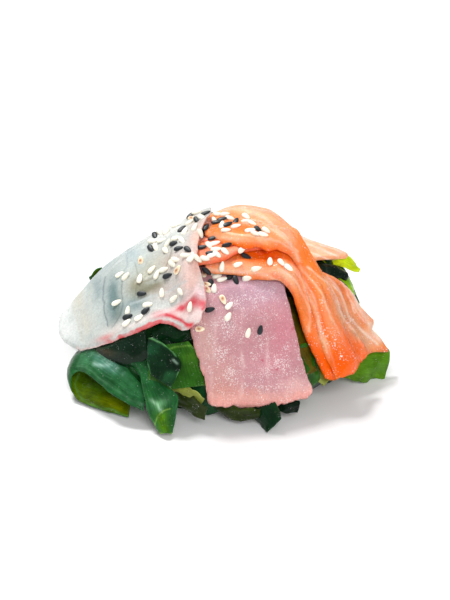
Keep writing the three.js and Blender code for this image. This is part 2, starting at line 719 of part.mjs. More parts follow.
// Sesame seed: a flat drop with a few sides
function seedSolid(place, angle) {
  const level = new THREE.Vector3(Math.cos(angle), Math.sin(angle), 0);
  const along = level.projectOnPlane(place.normal).normalize();
  const side = new THREE.Vector3().crossVectors(place.normal, along);
  const basis = new THREE.Matrix4().makeBasis(along, side, place.normal).setPosition(place.point);
  const at = (a, s, n) => new THREE.Vector3(a, s, n).applyMatrix4(basis).toArray();
  const points = [at(-SEED.length / 2, 0, SEED.sink)];
  for (const [share, girth] of SEED.rings) {
    for (let k = 0; k < SEED.sides; k++) {
      const turn = (2 * Math.PI * k) / SEED.sides;
      const s = (SEED.width / 2) * girth * Math.cos(turn);
      const n = (SEED.height / 2) * girth * Math.sin(turn);
      points.push(at(SEED.length * share, s, n + SEED.sink));
    }
  }
  points.push(at(SEED.length / 2, 0, SEED.sink));
  const triangles = [];
  for (let k = 0; k < SEED.sides; k++) {
    const next = (k + 1) % SEED.sides;
    triangles.push([0, 1 + next, 1 + k]);
    const [a, b] = [1 + SEED.sides + k, 1 + SEED.sides + next];
    triangles.push([1 + k, 1 + next, b], [1 + k, b, a], [points.length - 1, a, b]);
  }
  const solid = solidOf(points, triangles);
  return solid.volume() > 0 ? solid : solidOf(points, triangles.map(([a, b, c]) => [a, c, b]));
}

// Slice that shows at a place in plan: the last one laid there
function topmost(layers, x, y) {
  for (let k = layers.length - 1; k >= 0; k--) {
    const place = onSlice(layers[k], x, y);
    if (place) return { k, place };
  }
  return null;
}

// Seeds for each slice, clear of one another and of every slice's edge
function sesame(layers) {
  const random = randomFrom(SESAME_SEED);
  const laid = [];
  const seeds = layers.map(() => []);
  for (const cluster of SESAME) {
    for (let k = 0; k < cluster.count; k++) {
      const x = cluster.at[0] + cluster.spread[0] * bell(random);
      const y = cluster.at[1] + cluster.spread[1] * bell(random);
      const angle = random() * Math.PI * 2;
      const found = topmost(layers, x, y);
      if (!found || laid.some(([a, b]) => Math.hypot(a - x, b - y) < SEED_SPACING)) continue;
      const ends = [[SEED_CLEAR, 0], [-SEED_CLEAR, 0], [0, SEED_CLEAR], [0, -SEED_CLEAR]];
      if (!ends.every(([a, b]) => topmost(layers, x + a, y + b)?.k === found.k)) continue;
      laid.push([x, y]);
      seeds[found.k].push(seedSolid(found.place, angle));
    }
  }
  return seeds;
}

// Mesh with its own name and material
function meshOf(name, solid, color, roughness) {
  const { numProp, vertProperties, triVerts } = solid.getMesh();
  if (numProp !== 3) throw new Error(`${name} carries more than positions`);
  const geometry = new THREE.BufferGeometry();
  geometry.setAttribute("position", new THREE.Float32BufferAttribute(vertProperties, 3));
  geometry.setIndex([...triVerts]);
  geometry.computeVertexNormals();
  const material = new THREE.MeshStandardMaterial({ color, roughness, metalness: 0 });
  const mesh = new THREE.Mesh(geometry, material);
  mesh.name = name;
  return mesh;
}

function build() {
  const map = new HeightMap();
  const layers = SLICES.map((slice) => layDown(sliceSkin(slice), slice, map));
  const seeds = sesame(layers);
  const group = new THREE.Group();
  group.add(meshOf("wakame", wakameSolid(layers), ...WAKAME_FINISH));
  SLICES.forEach((slice, k) => {
    let solid = slabOf(layers[k].top, layers[k].bottom);
    for (const seed of seeds[k]) solid = solid.add(seed);
    group.add(meshOf(slice.name, largestOf(solid), slice.color, FLESH_ROUGHNESS));
  });
  return group;
}

export default build();
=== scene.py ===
"""Dressed model of a wakame salad with raw fish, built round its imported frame.

Sizes in this file are in millimetres and turn into metres when a mesh is made. Each slice of
fish is refined from its own solid in the frame, the leaves repeat the source's rule at a finer
grid, and the seeds lie on the slices.
"""

import logging
import math
from dataclasses import dataclass, field
from enum import Enum
from functools import cached_property

import bpy
import numpy as np
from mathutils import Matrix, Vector
from mathutils.bvhtree import BVHTree


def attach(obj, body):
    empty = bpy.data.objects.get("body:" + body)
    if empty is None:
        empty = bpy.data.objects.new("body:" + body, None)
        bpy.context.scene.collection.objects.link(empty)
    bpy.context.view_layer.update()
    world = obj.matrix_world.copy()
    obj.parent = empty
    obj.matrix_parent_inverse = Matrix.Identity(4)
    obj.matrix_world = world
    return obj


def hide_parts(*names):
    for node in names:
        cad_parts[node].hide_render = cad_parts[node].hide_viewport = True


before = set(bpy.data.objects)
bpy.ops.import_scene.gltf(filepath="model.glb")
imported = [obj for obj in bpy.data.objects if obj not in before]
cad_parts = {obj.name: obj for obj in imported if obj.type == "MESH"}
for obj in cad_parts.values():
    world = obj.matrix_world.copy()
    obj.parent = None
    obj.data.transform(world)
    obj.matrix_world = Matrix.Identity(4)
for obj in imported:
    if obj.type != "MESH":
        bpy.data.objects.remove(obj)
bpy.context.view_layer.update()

MM = 0.001
SHEET = 0.1  # units of a flat sheet in a millimetre
LOG = logging.getLogger("salad")

Point = tuple[float, float, float]
Path = tuple[tuple[float, float], ...]  # pixels, or places at shares of a length
Blob = tuple[float, ...]  # middle, half length, half width, turn and strength
Patch = tuple[str, float, float, float, float, float, float]  # colour, then a blob
Line = tuple[str, Path, float, float]  # colour, path, half width and strength


def colour(code: str) -> np.ndarray:
    """Returns in linear light a colour given as a screen's six hex digits."""
    screen = np.array([int(code[k : k + 2], 16) for k in (0, 2, 4)]) / 255
    return np.where(screen <= 0.04045, screen / 12.92, ((screen + 0.055) / 1.055) ** 2.4)


def mix(a: np.ndarray, b: np.ndarray, share: np.ndarray | float) -> np.ndarray:
    """Blends two values: share 0 gives the first, and share 1 the second."""
    return a + (b - a) * share


def smooth(low: float, high: float, value: np.ndarray) -> np.ndarray:
    """Returns for each value a number that rises smoothly from 0 at low to 1 at high."""
    t = np.clip((value - low) / (high - low), 0, 1)
    return t * t * (3 - 2 * t)


def unit(vectors: np.ndarray) -> np.ndarray:
    """Scales the vectors in the last axis to length 1."""
    return vectors / np.maximum(np.linalg.norm(vectors, axis=-1, keepdims=True), 1e-9)


FLAT: Path = ((0, 0), (1, 0))


def profile(points: Path, share: np.ndarray) -> np.ndarray:
    """Looks up a profile, given as values at shares of a length."""
    return np.interp(share, *np.array(points, float).T)


class Draw:
    """Seeded numbers from 0 to 1, in the order in which the part's source draws them."""

    def __init__(self, seed: int) -> None:
        """Starts the row of numbers that a whole number fixes."""
        self.state = seed

    def next(self) -> float:
        """Returns the next number."""
        self.state = (self.state * 1664525 + 1013904223) % 2**32
        return self.state / 2**32


class Grain:
    """Smooth random field in space, for colours and small relief."""

    CELLS = 24

    def __init__(self, seed: int) -> None:
        """Fills the lattice with the numbers that a whole number fixes."""
        self.lattice = np.random.default_rng(seed).random((self.CELLS,) * 3)

    def at(self, points: np.ndarray, size: float) -> np.ndarray:
        """Looks the field up.

        Args:
            points: Places in millimetres, in rows of three.
            size: Distance in millimetres between two independent values.

        Returns:
            A number from -1 to 1 for each place.
        """
        place = points / size
        low = np.floor(place).astype(int)
        t = place - low
        t = t * t * (3 - 2 * t)
        total = np.zeros(len(points))
        for corner in np.ndindex(2, 2, 2):
            i, j, k = ((low[:, axis] + corner[axis]) % self.CELLS for axis in range(3))
            weight = np.prod([t[:, a] if corner[a] else 1 - t[:, a] for a in range(3)], axis=0)
            total += weight * self.lattice[i, j, k]
        return total * 2 - 1

    def layered(self, points: np.ndarray, *layers: tuple[float, float]) -> np.ndarray:
        """Returns a sum of the field at several sizes, each with its weight before it."""
        return sum(weight * self.at(points, size) for weight, size in layers)


class PhotoView:
    """Place of the camera, and where a point of the object shows in its 450 by 600 picture."""

    ELEVATION = math.radians(28)
    DISTANCE = 600.0
    AIM = np.array([0.0, 0.0, 22.0])
    MIDDLE = (225.0, 300.0)
    PIXELS = 1800.0  # pixels across for a step aside as long as the distance
    AHEAD = np.array([0, math.cos(ELEVATION), -math.sin(ELEVATION)])
    UP = np.array([0, math.sin(ELEVATION), math.cos(ELEVATION)])
    EYE = AIM - DISTANCE * AHEAD

    @classmethod
    def pixels(cls, points: np.ndarray) -> tuple[np.ndarray, np.ndarray]:
        """Finds where points show.

        Args:
            points: Places in millimetres, in rows of three.

        Returns:
            Distances from the picture's left and from its top, in pixels.
        """
        away = points - cls.EYE
        depth = away @ cls.AHEAD
        x = cls.MIDDLE[0] + away[:, 0] / depth * cls.PIXELS
        y = cls.MIDDLE[1] - (away @ cls.UP) / depth * cls.PIXELS
        return x, y

    @classmethod
    def line_of_sight(cls, x: float, y: float) -> np.ndarray:
        """Returns the unit direction from the eye through a pixel."""
        aside = np.array([x - cls.MIDDLE[0], 0, 0]) / cls.PIXELS
        return unit(cls.AHEAD + aside + cls.UP * (cls.MIDDLE[1] - y) / cls.PIXELS)


class Rail:
    """Smooth curve through named points, drawn as the part's source draws it."""

    STEP = 1e-4  # share of the way over which the direction is measured

    def __init__(self, points: tuple[tuple[float, ...], ...]) -> None:
        """Keeps the points."""
        self.points = np.asarray(points, float)

    def at(self, u: np.ndarray) -> np.ndarray:
        """Finds places on the curve.

        Args:
            u: Shares of the way, 0 to 1.

        Returns:
            One point in a row for each share.
        """
        points = self.points
        last = len(points) - 1
        place = np.clip(u, 0, 1) * last
        k = np.minimum(place.astype(int), last - 1)
        w = (place - k)[:, None]
        ends = (2 * points[0] - points[1], 2 * points[-1] - points[-2])
        row = np.vstack([ends[0], points, ends[1]])
        x0, x1, x2, x3 = (row[k + i] for i in range(4))
        d0, d1, d2 = (
            np.sum((b - a) ** 2, 1, keepdims=True) ** 0.25
            for a, b in ((x0, x1), (x1, x2), (x2, x3))
        )
        t1 = ((x1 - x0) / d0 - (x2 - x0) / (d0 + d1) + (x2 - x1) / d1) * d1
        t2 = ((x2 - x1) / d1 - (x3 - x1) / (d1 + d2) + (x3 - x2) / d2) * d1
        square = 3 * (x2 - x1) - 2 * t1 - t2
        cube = 2 * (x1 - x2) + t1 + t2
        return x1 + t1 * w + square * w**2 + cube * w**3

    def ahead(self, u: np.ndarray) -> np.ndarray:
        """Returns the curve's unit direction at each share of the way."""
        return unit(self.at(np.minimum(u + self.STEP, 1)) - self.at(np.maximum(u - self.STEP, 0)))


def refine(grid: np.ndarray, counts: tuple[int, int]) -> np.ndarray:
    """Draws a smooth grid through a coarse one.

    Args:
        grid: Coarse grid, rows by columns by values.
        counts: Number of rows and columns that are wanted.

    Returns:
        The fine grid.
    """
    for axis, count in enumerate(counts):
        old = grid.shape[axis]
        place = np.linspace(0, old - 1, count)
        k = np.minimum(place.astype(int), old - 2)
        w = place - k
        weights = np.zeros((count, old))
        parts = (
            -0.5 * w + w**2 - 0.5 * w**3,
            1 - 2.5 * w**2 + 1.5 * w**3,
            0.5 * w + 2 * w**2 - 1.5 * w**3,
            -0.5 * w**2 + 0.5 * w**3,
        )
        rows = np.arange(count)
        for step, part in zip((-1, 0, 1, 2), parts):
            near = k + step
            inside = (near >= 0) & (near < old)
            np.add.at(weights, (rows[inside], near[inside]), part[inside])
            for edge, inner in ((0, 1), (old - 1, old - 2)):
                out = near < 0 if edge == 0 else near >= old
                np.add.at(weights, (rows[out], np.full(out.sum(), edge)), 2 * part[out])
                np.add.at(weights, (rows[out], np.full(out.sum(), inner)), -part[out])
        grid = np.moveaxis(np.tensordot(weights, grid, axes=(1, axis)), 0, axis)
    return grid


def grid_normals(grid: np.ndarray) -> np.ndarray:
    """Returns the unit normals of a grid of points, all pointing up."""
    normals = unit(np.cross(np.gradient(grid, axis=0), np.gradient(grid, axis=1)))
    return normals * np.where(normals[..., 2:] < 0, -1, 1)


@dataclass
class MeshData:
    """A piece while it is being made.

    Attributes:
        points: Places in millimetres.
        faces: Point numbers of each face, in rows.
        values: Painted values by name: a number or a colour for each point.
        spread: Places on a flat sheet, for fibres and veins.
    """

    points: np.ndarray
    faces: np.ndarray
    values: dict[str, np.ndarray] = field(default_factory=dict)
    spread: np.ndarray | None = None

    @staticmethod
    def joined(parts: list["MeshData"]) -> "MeshData":
        """Puts several meshes into one.

        Args:
            parts: The meshes, with the same painted values.

        Returns:
            The mesh that holds them all.
        """
        starts = np.cumsum([0] + [len(p.points) for p in parts[:-1]])
        faces = np.vstack([p.faces + s for p, s in zip(parts, starts)])
        values = {n: np.concatenate([p.values[n] for p in parts]) for n in parts[0].values}
        spread = None
        if parts[0].spread is not None:
            spread = np.vstack([p.spread for p in parts])
        return MeshData(np.vstack([p.points for p in parts]), faces, values, spread)

    def piece(self, name: str, material: bpy.types.Material) -> bpy.types.Object:
        """Makes the Blender object.

        Args:
            name: Name of the piece.
            material: Its finish.

        Returns:
            The object, linked to the scene.
        """
        mesh = bpy.data.meshes.new(name)
        corners = self.faces.shape[1]
        mesh.vertices.add(len(self.points))
        mesh.vertices.foreach_set("co", (self.points * MM).astype(np.float32).ravel())
        mesh.loops.add(self.faces.size)
        mesh.loops.foreach_set("vertex_index", self.faces.astype(np.int32).ravel())
        mesh.polygons.add(len(self.faces))
        mesh.polygons.foreach_set(
            "loop_start", np.arange(0, self.faces.size, corners, dtype=np.int32)
        )
        mesh.update(calc_edges=True)
        mesh.validate()
        for label, value in self.values.items():
            if value.ndim == 2:
                layer = mesh.attributes.new(label, "FLOAT_COLOR", "POINT")
                full = np.ones((len(value), 4), np.float32)
                full[:, :3] = value
                layer.data.foreach_set("color", full.ravel())
            else:
                layer = mesh.attributes.new(label, "FLOAT", "POINT")
                layer.data.foreach_set("value", value.astype(np.float32))
        if self.spread is not None:
            layer = mesh.uv_layers.new(name="flat")
            places = self.spread[self.faces.ravel()].astype(np.float32)
            layer.uv.foreach_set("vector", places.ravel())
        mesh.polygons.foreach_set("use_smooth", np.ones(len(mesh.polygons), bool))
        mesh.materials.append(material)
        made = bpy.data.objects.new(name, mesh)
        bpy.context.scene.collection.objects.link(made)
        return made

    def stand_in(
        self, name: str, material: bpy.types.Material, node: str, slot: str
    ) -> bpy.types.Object:
        """Makes the object, which stands for a solid of the frame.

        Args:
            name: Name of the piece.
            material: Its finish.
            node: The solid.
            slot: The record's material slot; not used.

        Returns:
            The object.
        """
        made = self.piece(name, material)
        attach(made, "root")
        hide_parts(node)
        return made


def sheet_faces(rows: int, columns: int, start: int = 0, flip: bool = False) -> np.ndarray:
    """Lists the quads of a grid.

    Args:
        rows: Rows of points.
        columns: Points in a row.
        start: Number of the grid's first point.
        flip: Whether the faces look the other way.

    Returns:
        Four point numbers for each quad.
    """
    index = np.arange(rows * columns).reshape(rows, columns) + start
    quads = np.stack([index[:-1, :-1], index[1:, :-1], index[1:, 1:], index[:-1, 1:]], -1)
    quads = quads.reshape(-1, 4)
    return quads[:, ::-1] if flip else quads


def ring_faces(rings: int, sides: int) -> np.ndarray:
    """Lists the quads between closed rings of points that have as many sides each."""
    index = np.arange(rings * sides).reshape(rings, sides)
    ahead = np.roll(index, -1, axis=1)
    return np.stack([index[:-1], ahead[:-1], ahead[1:], index[1:]], -1).reshape(-1, 4)


def rim_order(rows: int, columns: int) -> np.ndarray:
    """Lists the numbers of the points on a grid's rim, once round."""
    index = np.arange(rows * columns).reshape(rows, columns)
    return np.concatenate([index[0, :-1], index[:-1, -1], index[-1, :0:-1], index[:0:-1, 0]])


def closed_shell(
    top: np.ndarray, bottom: np.ndarray, rim_rows: int, bulge: float
) -> tuple[np.ndarray, np.ndarray, np.ndarray, np.ndarray]:
    """Closes two grids with a rounded rim.

    Args:
        top: Upper grid of points.
        bottom: Lower grid, with the same layout.
        rim_rows: Rows of points on the rim between them.
        bulge: How far the rim stands out in its middle.

    Returns:
        Points, quads, the number in the grid that each point belongs to, and how far down the
        rim it is: 0 on top, 1 underneath.
    """
    rows, columns = top.shape[:2]
    count = rows * columns
    rim = rim_order(rows, columns)
    upper, lower = top.reshape(-1, 3), bottom.reshape(-1, 3)
    inner = np.clip(np.stack(np.unravel_index(rim, (rows, columns))), 1, None)
    inner[0] = np.minimum(inner[0], rows - 2)
    inner[1] = np.minimum(inner[1], columns - 2)
    outward = upper[rim] - upper[inner[0] * columns + inner[1]]
    outward[:, 2] *= 0.5
    outward = unit(outward)
    points, down, home = [upper, lower], [np.zeros(count), np.ones(count)], [np.arange(count)] * 2
    for k in range(1, rim_rows + 1):
        share = k / (rim_rows + 1)
        reach = bulge * math.sin(math.pi * share) ** 0.6
        points.append(mix(upper[rim], lower[rim], share) + outward * reach)
        down.append(np.full(len(rim), share))
        home.append(rim)
    faces = [sheet_faces(rows, columns), sheet_faces(rows, columns, count, True)]
    rings = [rim] + [2 * count + k * len(rim) + np.arange(len(rim)) for k in range(rim_rows)]
    rings.append(rim + count)
    for a, b in zip(rings[:-1], rings[1:]):
        faces.append(np.stack([a, np.roll(a, -1), np.roll(b, -1), b], 1))
    return np.vstack(points), np.vstack(faces), np.concatenate(home), np.concatenate(down)


class Bench:
    """Puts a finish together from shader nodes."""

    USUAL = (0.25, 0.75)  # range that most noise stays in
    INNER = (0.3, 0.7)
    WETTER = 0.1  # how much thicker glints lie in a wet place
    SCATTER = 9  # how much larger than a glint the patches of glints are
    SPECKS = (0.72, 0.6)  # height of the noise above which a glint shows, in thin and thick patches
    SPARSE = 0.08
    SOFTNESS = 0.05
    # white of the painted glints, which stand in for highlights off the water
    GLINT_WHITE = (0.98, 0.97, 0.96, 1)
    MIX_FIRST = 6  # numbers of a mix node's colour inputs
    MIX_SECOND = 7

    def __init__(self, name: str) -> None:
        """Starts a material with its main shader.

        Args:
            name: Name of the finish.
        """
        self.material = bpy.data.materials.new(name)
        self.material.use_nodes = True
        self.nodes = self.material.node_tree.nodes
        self.shader = next(n for n in self.nodes if n.type == "BSDF_PRINCIPLED")

    def add(
        self, kind: str, settings: dict | None = None, *values: object, **inputs: object
    ) -> bpy.types.Node:
        """Adds a node.

        Args:
            kind: Last part of Blender's name of the node type.
            settings: Its options.
            values: Values or sockets for its first inputs, in order.
            inputs: The same for other inputs, by name with _ for a space.

        Returns:
            The node.
        """
        node = self.nodes.new("ShaderNode" + kind)
        for option, value in (settings or {}).items():
            setattr(node, option, value)
        for place, value in (*enumerate(values), *inputs.items()):
            self.feed(node, place, value)
        return node

    def feed(self, node: bpy.types.Node, place: int | str, value: object) -> None:
        """Sets or links one input.

        Args:
            node: The node that takes it.
            place: The input's number, or its name with _ for a space.
            value: A socket, a number or a tuple.
        """
        socket = node.inputs[place.replace("_", " ") if isinstance(place, str) else place]
        if isinstance(value, bpy.types.NodeSocket):
            self.material.node_tree.links.new(value, socket)
        else:
            socket.default_value = value

    def set(self, **inputs: object) -> None:
        """Sets or links inputs of the main shader, by name with _ for a space."""
        for name, value in inputs.items():
            self.feed(self.shader, name, value)

    def painted(self, label: str) -> bpy.types.Node:
        """Returns a node that reads a value painted on the points."""
        return self.add("Attribute", {"attribute_name": label})

    def fibres(self, stretch: tuple[float, float], scale: float, detail: float) -> object:
        """Adds fine fibres or veins that run along a piece.

        Args:
            stretch: How close they lie along it and across it.
            scale: How fine they are.
            detail: Layers of finer noise.

        Returns:
            The socket with their value.
        """
        flat = self.add("UVMap", {"uv_map": "flat"}).outputs["UV"]
        drawn = self.add("Mapping", Vector=flat, Scale=(*stretch, 1)).outputs[0]
        return self.add("TexNoise", Vector=drawn, Scale=scale, Detail=detail).outputs["Fac"]

    def noise(self, size: float, detail: float = 3.0) -> bpy.types.NodeSocket:
        """Adds a noise texture.

        Args:
            size: Rough size of a patch in millimetres.
            detail: Layers of finer noise.

        Returns:
            The socket with its value.
        """
        where = self.add("TexCoord").outputs["Object"]
        node = self.add("TexNoise", Vector=where, Scale=1 / (size * MM), Detail=detail)
        return node.outputs["Fac"]

    def drops(self, size: float, share: float) -> bpy.types.NodeSocket:
        """Adds scattered round spots, such as small drops.

        Args:
            size: Distance between two drops in millimetres.
            share: Radius of a drop, as a share of that distance.

        Returns:
            The socket, 1 in the middle of a drop and 0 between them.
        """
        where = self.add("TexCoord").outputs["Object"]
        cells = self.add("TexVoronoi", Vector=where, Scale=1 / (size * MM))
        return self.ranged(cells.outputs["Distance"], (0.0, share), (1.0, 0.0))

    def ranged(
        self, value: object, old: tuple[float, float], new: tuple[float, float]
    ) -> bpy.types.NodeSocket:
        """Moves a value from its old range to a new one."""
        return self.add("MapRange", None, value, *old, *new).outputs[0]

    def shaded(self, base: object, value: object, low: float, high: float) -> bpy.types.NodeSocket:
        """Makes a colour darker and lighter by a value from 0 to 1.

        Args:
            base: Socket with the colour.
            value: Socket with the value.
            low: Brightness at 0.
            high: Brightness at 1.

        Returns:
            The socket with the result.
        """
        bright = self.ranged(value, self.USUAL, (low, high))
        return self.add("VectorMath", {"operation": "SCALE"}, base, Scale=bright).outputs[0]

    def glinting(
        self, base: object, size: float, share: float, strength: float, wet: object = 0.0
    ) -> bpy.types.NodeSocket:
        """Paints small white glints over a colour, thick in some patches: painted highlights.

        Args:
            base: Socket with the colour.
            size: Rough size of a glint in millimetres.
            share: How much of the surface has them, 0 to 1.
            strength: How white they are.
            wet: Socket that is 1 where they are thickest.

        Returns:
            The socket with the result.
        """
        specks = self.noise(size, detail=1.0)
        where = self.noise(size * self.SCATTER, detail=1.0)
        few, many = (limit - self.SPARSE * share for limit in self.SPECKS)
        high = self.ranged(where, self.INNER, (few, many))
        above = self.add("Math", {"operation": "SUBTRACT"}, specks, high).outputs[0]
        more = self.ranged(wet, (0.0, 1.0), (0.0, self.WETTER))
        raised = self.add("Math", {"operation": "ADD"}, above, more).outputs[0]
        amount = self.ranged(raised, (0.0, self.SOFTNESS), (0.0, strength))
        # painted highlights: the colour is mixed towards white at each glint
        mixed = self.add("Mix", {"data_type": "RGBA"}, Factor=amount)
        self.feed(mixed, self.MIX_FIRST, base)
        self.feed(mixed, self.MIX_SECOND, self.GLINT_WHITE)
        return mixed.outputs[2]

    def bumped(self, layers: list[tuple[object, float, float]]) -> None:
        """Adds small relief.

        Args:
            layers: Height socket, depth in millimetres and strength of each layer.
        """
        normal: object = None
        for height, depth, strength in layers:
            node = self.add("Bump", Height=height, Distance=depth * MM, Strength=strength)
            if normal is not None:
                self.feed(node, "Normal", normal)
            normal = node.outputs[0]
        self.set(Normal=normal)


@dataclass(frozen=True)
class WetFlesh:
    """Finish of a raw slice: painted colour and glints, fibres along it, wet grain, and soft light
    inside.

    Attributes:
        name: Name of the material.
        fibre: Depth of the fine fibres, in millimetres.
        grain: Depth and size of the sparkling grain, in millimetres.
        depth: How far light spreads inside, in millimetres.
        spread: How far each of red, green and blue spreads, as shares of it.
        weight: Share of the light that goes inside.
        roughness: Roughness between the glints.
        pale: How much of the surface has painted glints, white specks that stand in for highlights
        on the water, and how white they are.
        shine: How strongly the flesh and the water on it mirror.
    """

    name: str
    fibre: float
    grain: tuple[float, float]
    depth: float
    spread: tuple[float, float, float]
    weight: float
    roughness: tuple[float, float]
    pale: tuple[float, float] = (0.0, 0.0)
    shine: tuple[float, float] = (0.2, 0.25)

    FIBRES = ((0.35, 3.2), 9.0, 4.0)
    FIBRE_TONES = (0.92, 1.08)
    WET_TONES = (0.88, 1.12)
    GLINT = 0.7  # size of a glint, as a share of the grain's
    PATCH = 3.0
    PATCH_BUMP = (0.25, 0.5)
    COAT_ROUGHNESS = 0.08

    def material(self) -> bpy.types.Material:
        """Returns the material, made from nodes."""
        bench = Bench(self.name)
        paint = bench.painted("paint").outputs["Color"]
        fibres = bench.fibres(*self.FIBRES)
        depth, size = self.grain
        wet = bench.noise(size, detail=2.0)
        patches = bench.noise(self.PATCH)
        toned = bench.shaded(paint, fibres, *self.FIBRE_TONES)
        toned = bench.shaded(toned, wet, *self.WET_TONES)
        # painted glints: white specks that stand in for highlights on the water, thickest where
        # painted
        if self.pale[1]:
            glint_places = bench.painted("wet").outputs["Fac"]
            toned = bench.glinting(toned, size * self.GLINT, *self.pale, glint_places)
        bench.set(
            Base_Color=toned,
            Roughness=bench.ranged(patches, bench.INNER, self.roughness),
            Subsurface_Weight=self.weight,
            Subsurface_Radius=self.spread,
            Subsurface_Scale=self.depth * MM,
            Specular_IOR_Level=self.shine[0],
            Coat_Weight=self.shine[1],
            Coat_Roughness=self.COAT_ROUGHNESS,
        )
        bench.bumped([(fibres, self.fibre, 0.8), (wet, depth, 0.9), (patches, *self.PATCH_BUMP)])
        return bench.material


@dataclass
class Skin:
    """What is known at each point of a slice or a leaf while it is painted.

    Attributes:
        points: Places in millimetres.
        u: Share of the way along the piece.
        v: Share of the way across it, or -1 to 1 across a cut leaf.
        down: 0 on top, 1 underneath, and between them on the rim.
    """

    points: np.ndarray
    u: np.ndarray
    v: np.ndarray
    down: np.ndarray

    WANDER = ((6.0, 2.2), (2.0, 1.0))  # size in millimetres and reach in pixels

    @cached_property
    def seen(self) -> tuple[np.ndarray, np.ndarray]:
        """Where the points show in the photograph's frame, wandering a little.

        The wandering keeps every patch and line that is painted there from looking ruled.
        """
        x, y = PhotoView.pixels(self.points)
        for size, reach in self.WANDER:
            x = x + reach * Grain(31).at(self.points, size)
            y = y + reach * Grain(32).at(self.points, size)
        return x, y

    def blob(
        self, x: float, y: float, wide: float, high: float, turn: float = 0, strength: float = 1
    ) -> np.ndarray:
        """Soft oval patch.

        Args:
            x: Its middle, in pixels from the left.
            y: Its middle, in pixels from the top.
            wide: Half its length in pixels.
            high: Half its width in pixels.
            turn: Degrees that its length turns up from level.
            strength: Value in its middle.

        Returns:
            A number for each point, which falls to 0 round the patch.
        """
        c, s = math.cos(math.radians(turn)), math.sin(math.radians(turn))
        right, below = self.seen[0] - x, self.seen[1] - y
        along, across = right * c - below * s, right * s + below * c
        return strength * np.exp(-((along / wide) ** 2) - (across / high) ** 2)

    def blobs(self, rows: tuple[Blob, ...]) -> np.ndarray:
        """Returns the strongest of several patches at each point."""
        total = np.zeros(len(self.points))
        for row in rows:
            total = np.maximum(total, self.blob(*row))
        return total

    def stroke(self, path: Path, width: float) -> np.ndarray:
        """Soft line through pixels.

        Args:
            path: Pixels that it passes.
            width: Half its width in pixels.

        Returns:
            1 on the line, falling to 0 beside it.
        """
        line = Rail(path).at(np.linspace(0, 1, 8 * len(path)))
        here = np.stack(self.seen, 1)
        nearest = np.full(len(here), np.inf)
        for a, b in zip(line[:-1], line[1:]):
            step = b - a
            t = np.clip(((here - a) @ step) / (step @ step), 0, 1)
            nearest = np.minimum(nearest, np.linalg.norm(here - a - t[:, None] * step, axis=1))
        return np.exp(-((nearest / width) ** 2))

    def patched(
        self, shade: np.ndarray, patches: tuple[Patch, ...], uneven: np.ndarray | float = 1.0
    ) -> np.ndarray:
        """Lays soft patches over a colour.

        Args:
            shade: Linear colours in rows.
            patches: The patches.
            uneven: How their strength varies from point to point.

        Returns:
            The colours with the patches on them.
        """
        for code, *place in patches:
            patch = np.clip(uneven * self.blob(*place), 0, 1)
            shade = mix(shade, colour(code), patch[:, None])
        return shade

    def lined(
        self, shade: np.ndarray, lines: tuple[Line, ...], uneven: np.ndarray | float = 1.0
    ) -> np.ndarray:
        """Draws soft lines over a colour.

        Args:
            shade: Linear colours in rows.
            lines: The lines.
            uneven: How their strength varies from point to point.

        Returns:
            The colours with the lines on them.
        """
        for code, path, width, strength in lines:
            line = np.clip(strength * uneven * self.stroke(path, width), 0, 1)
            shade = mix(shade, colour(code), line[:, None])
        return shade


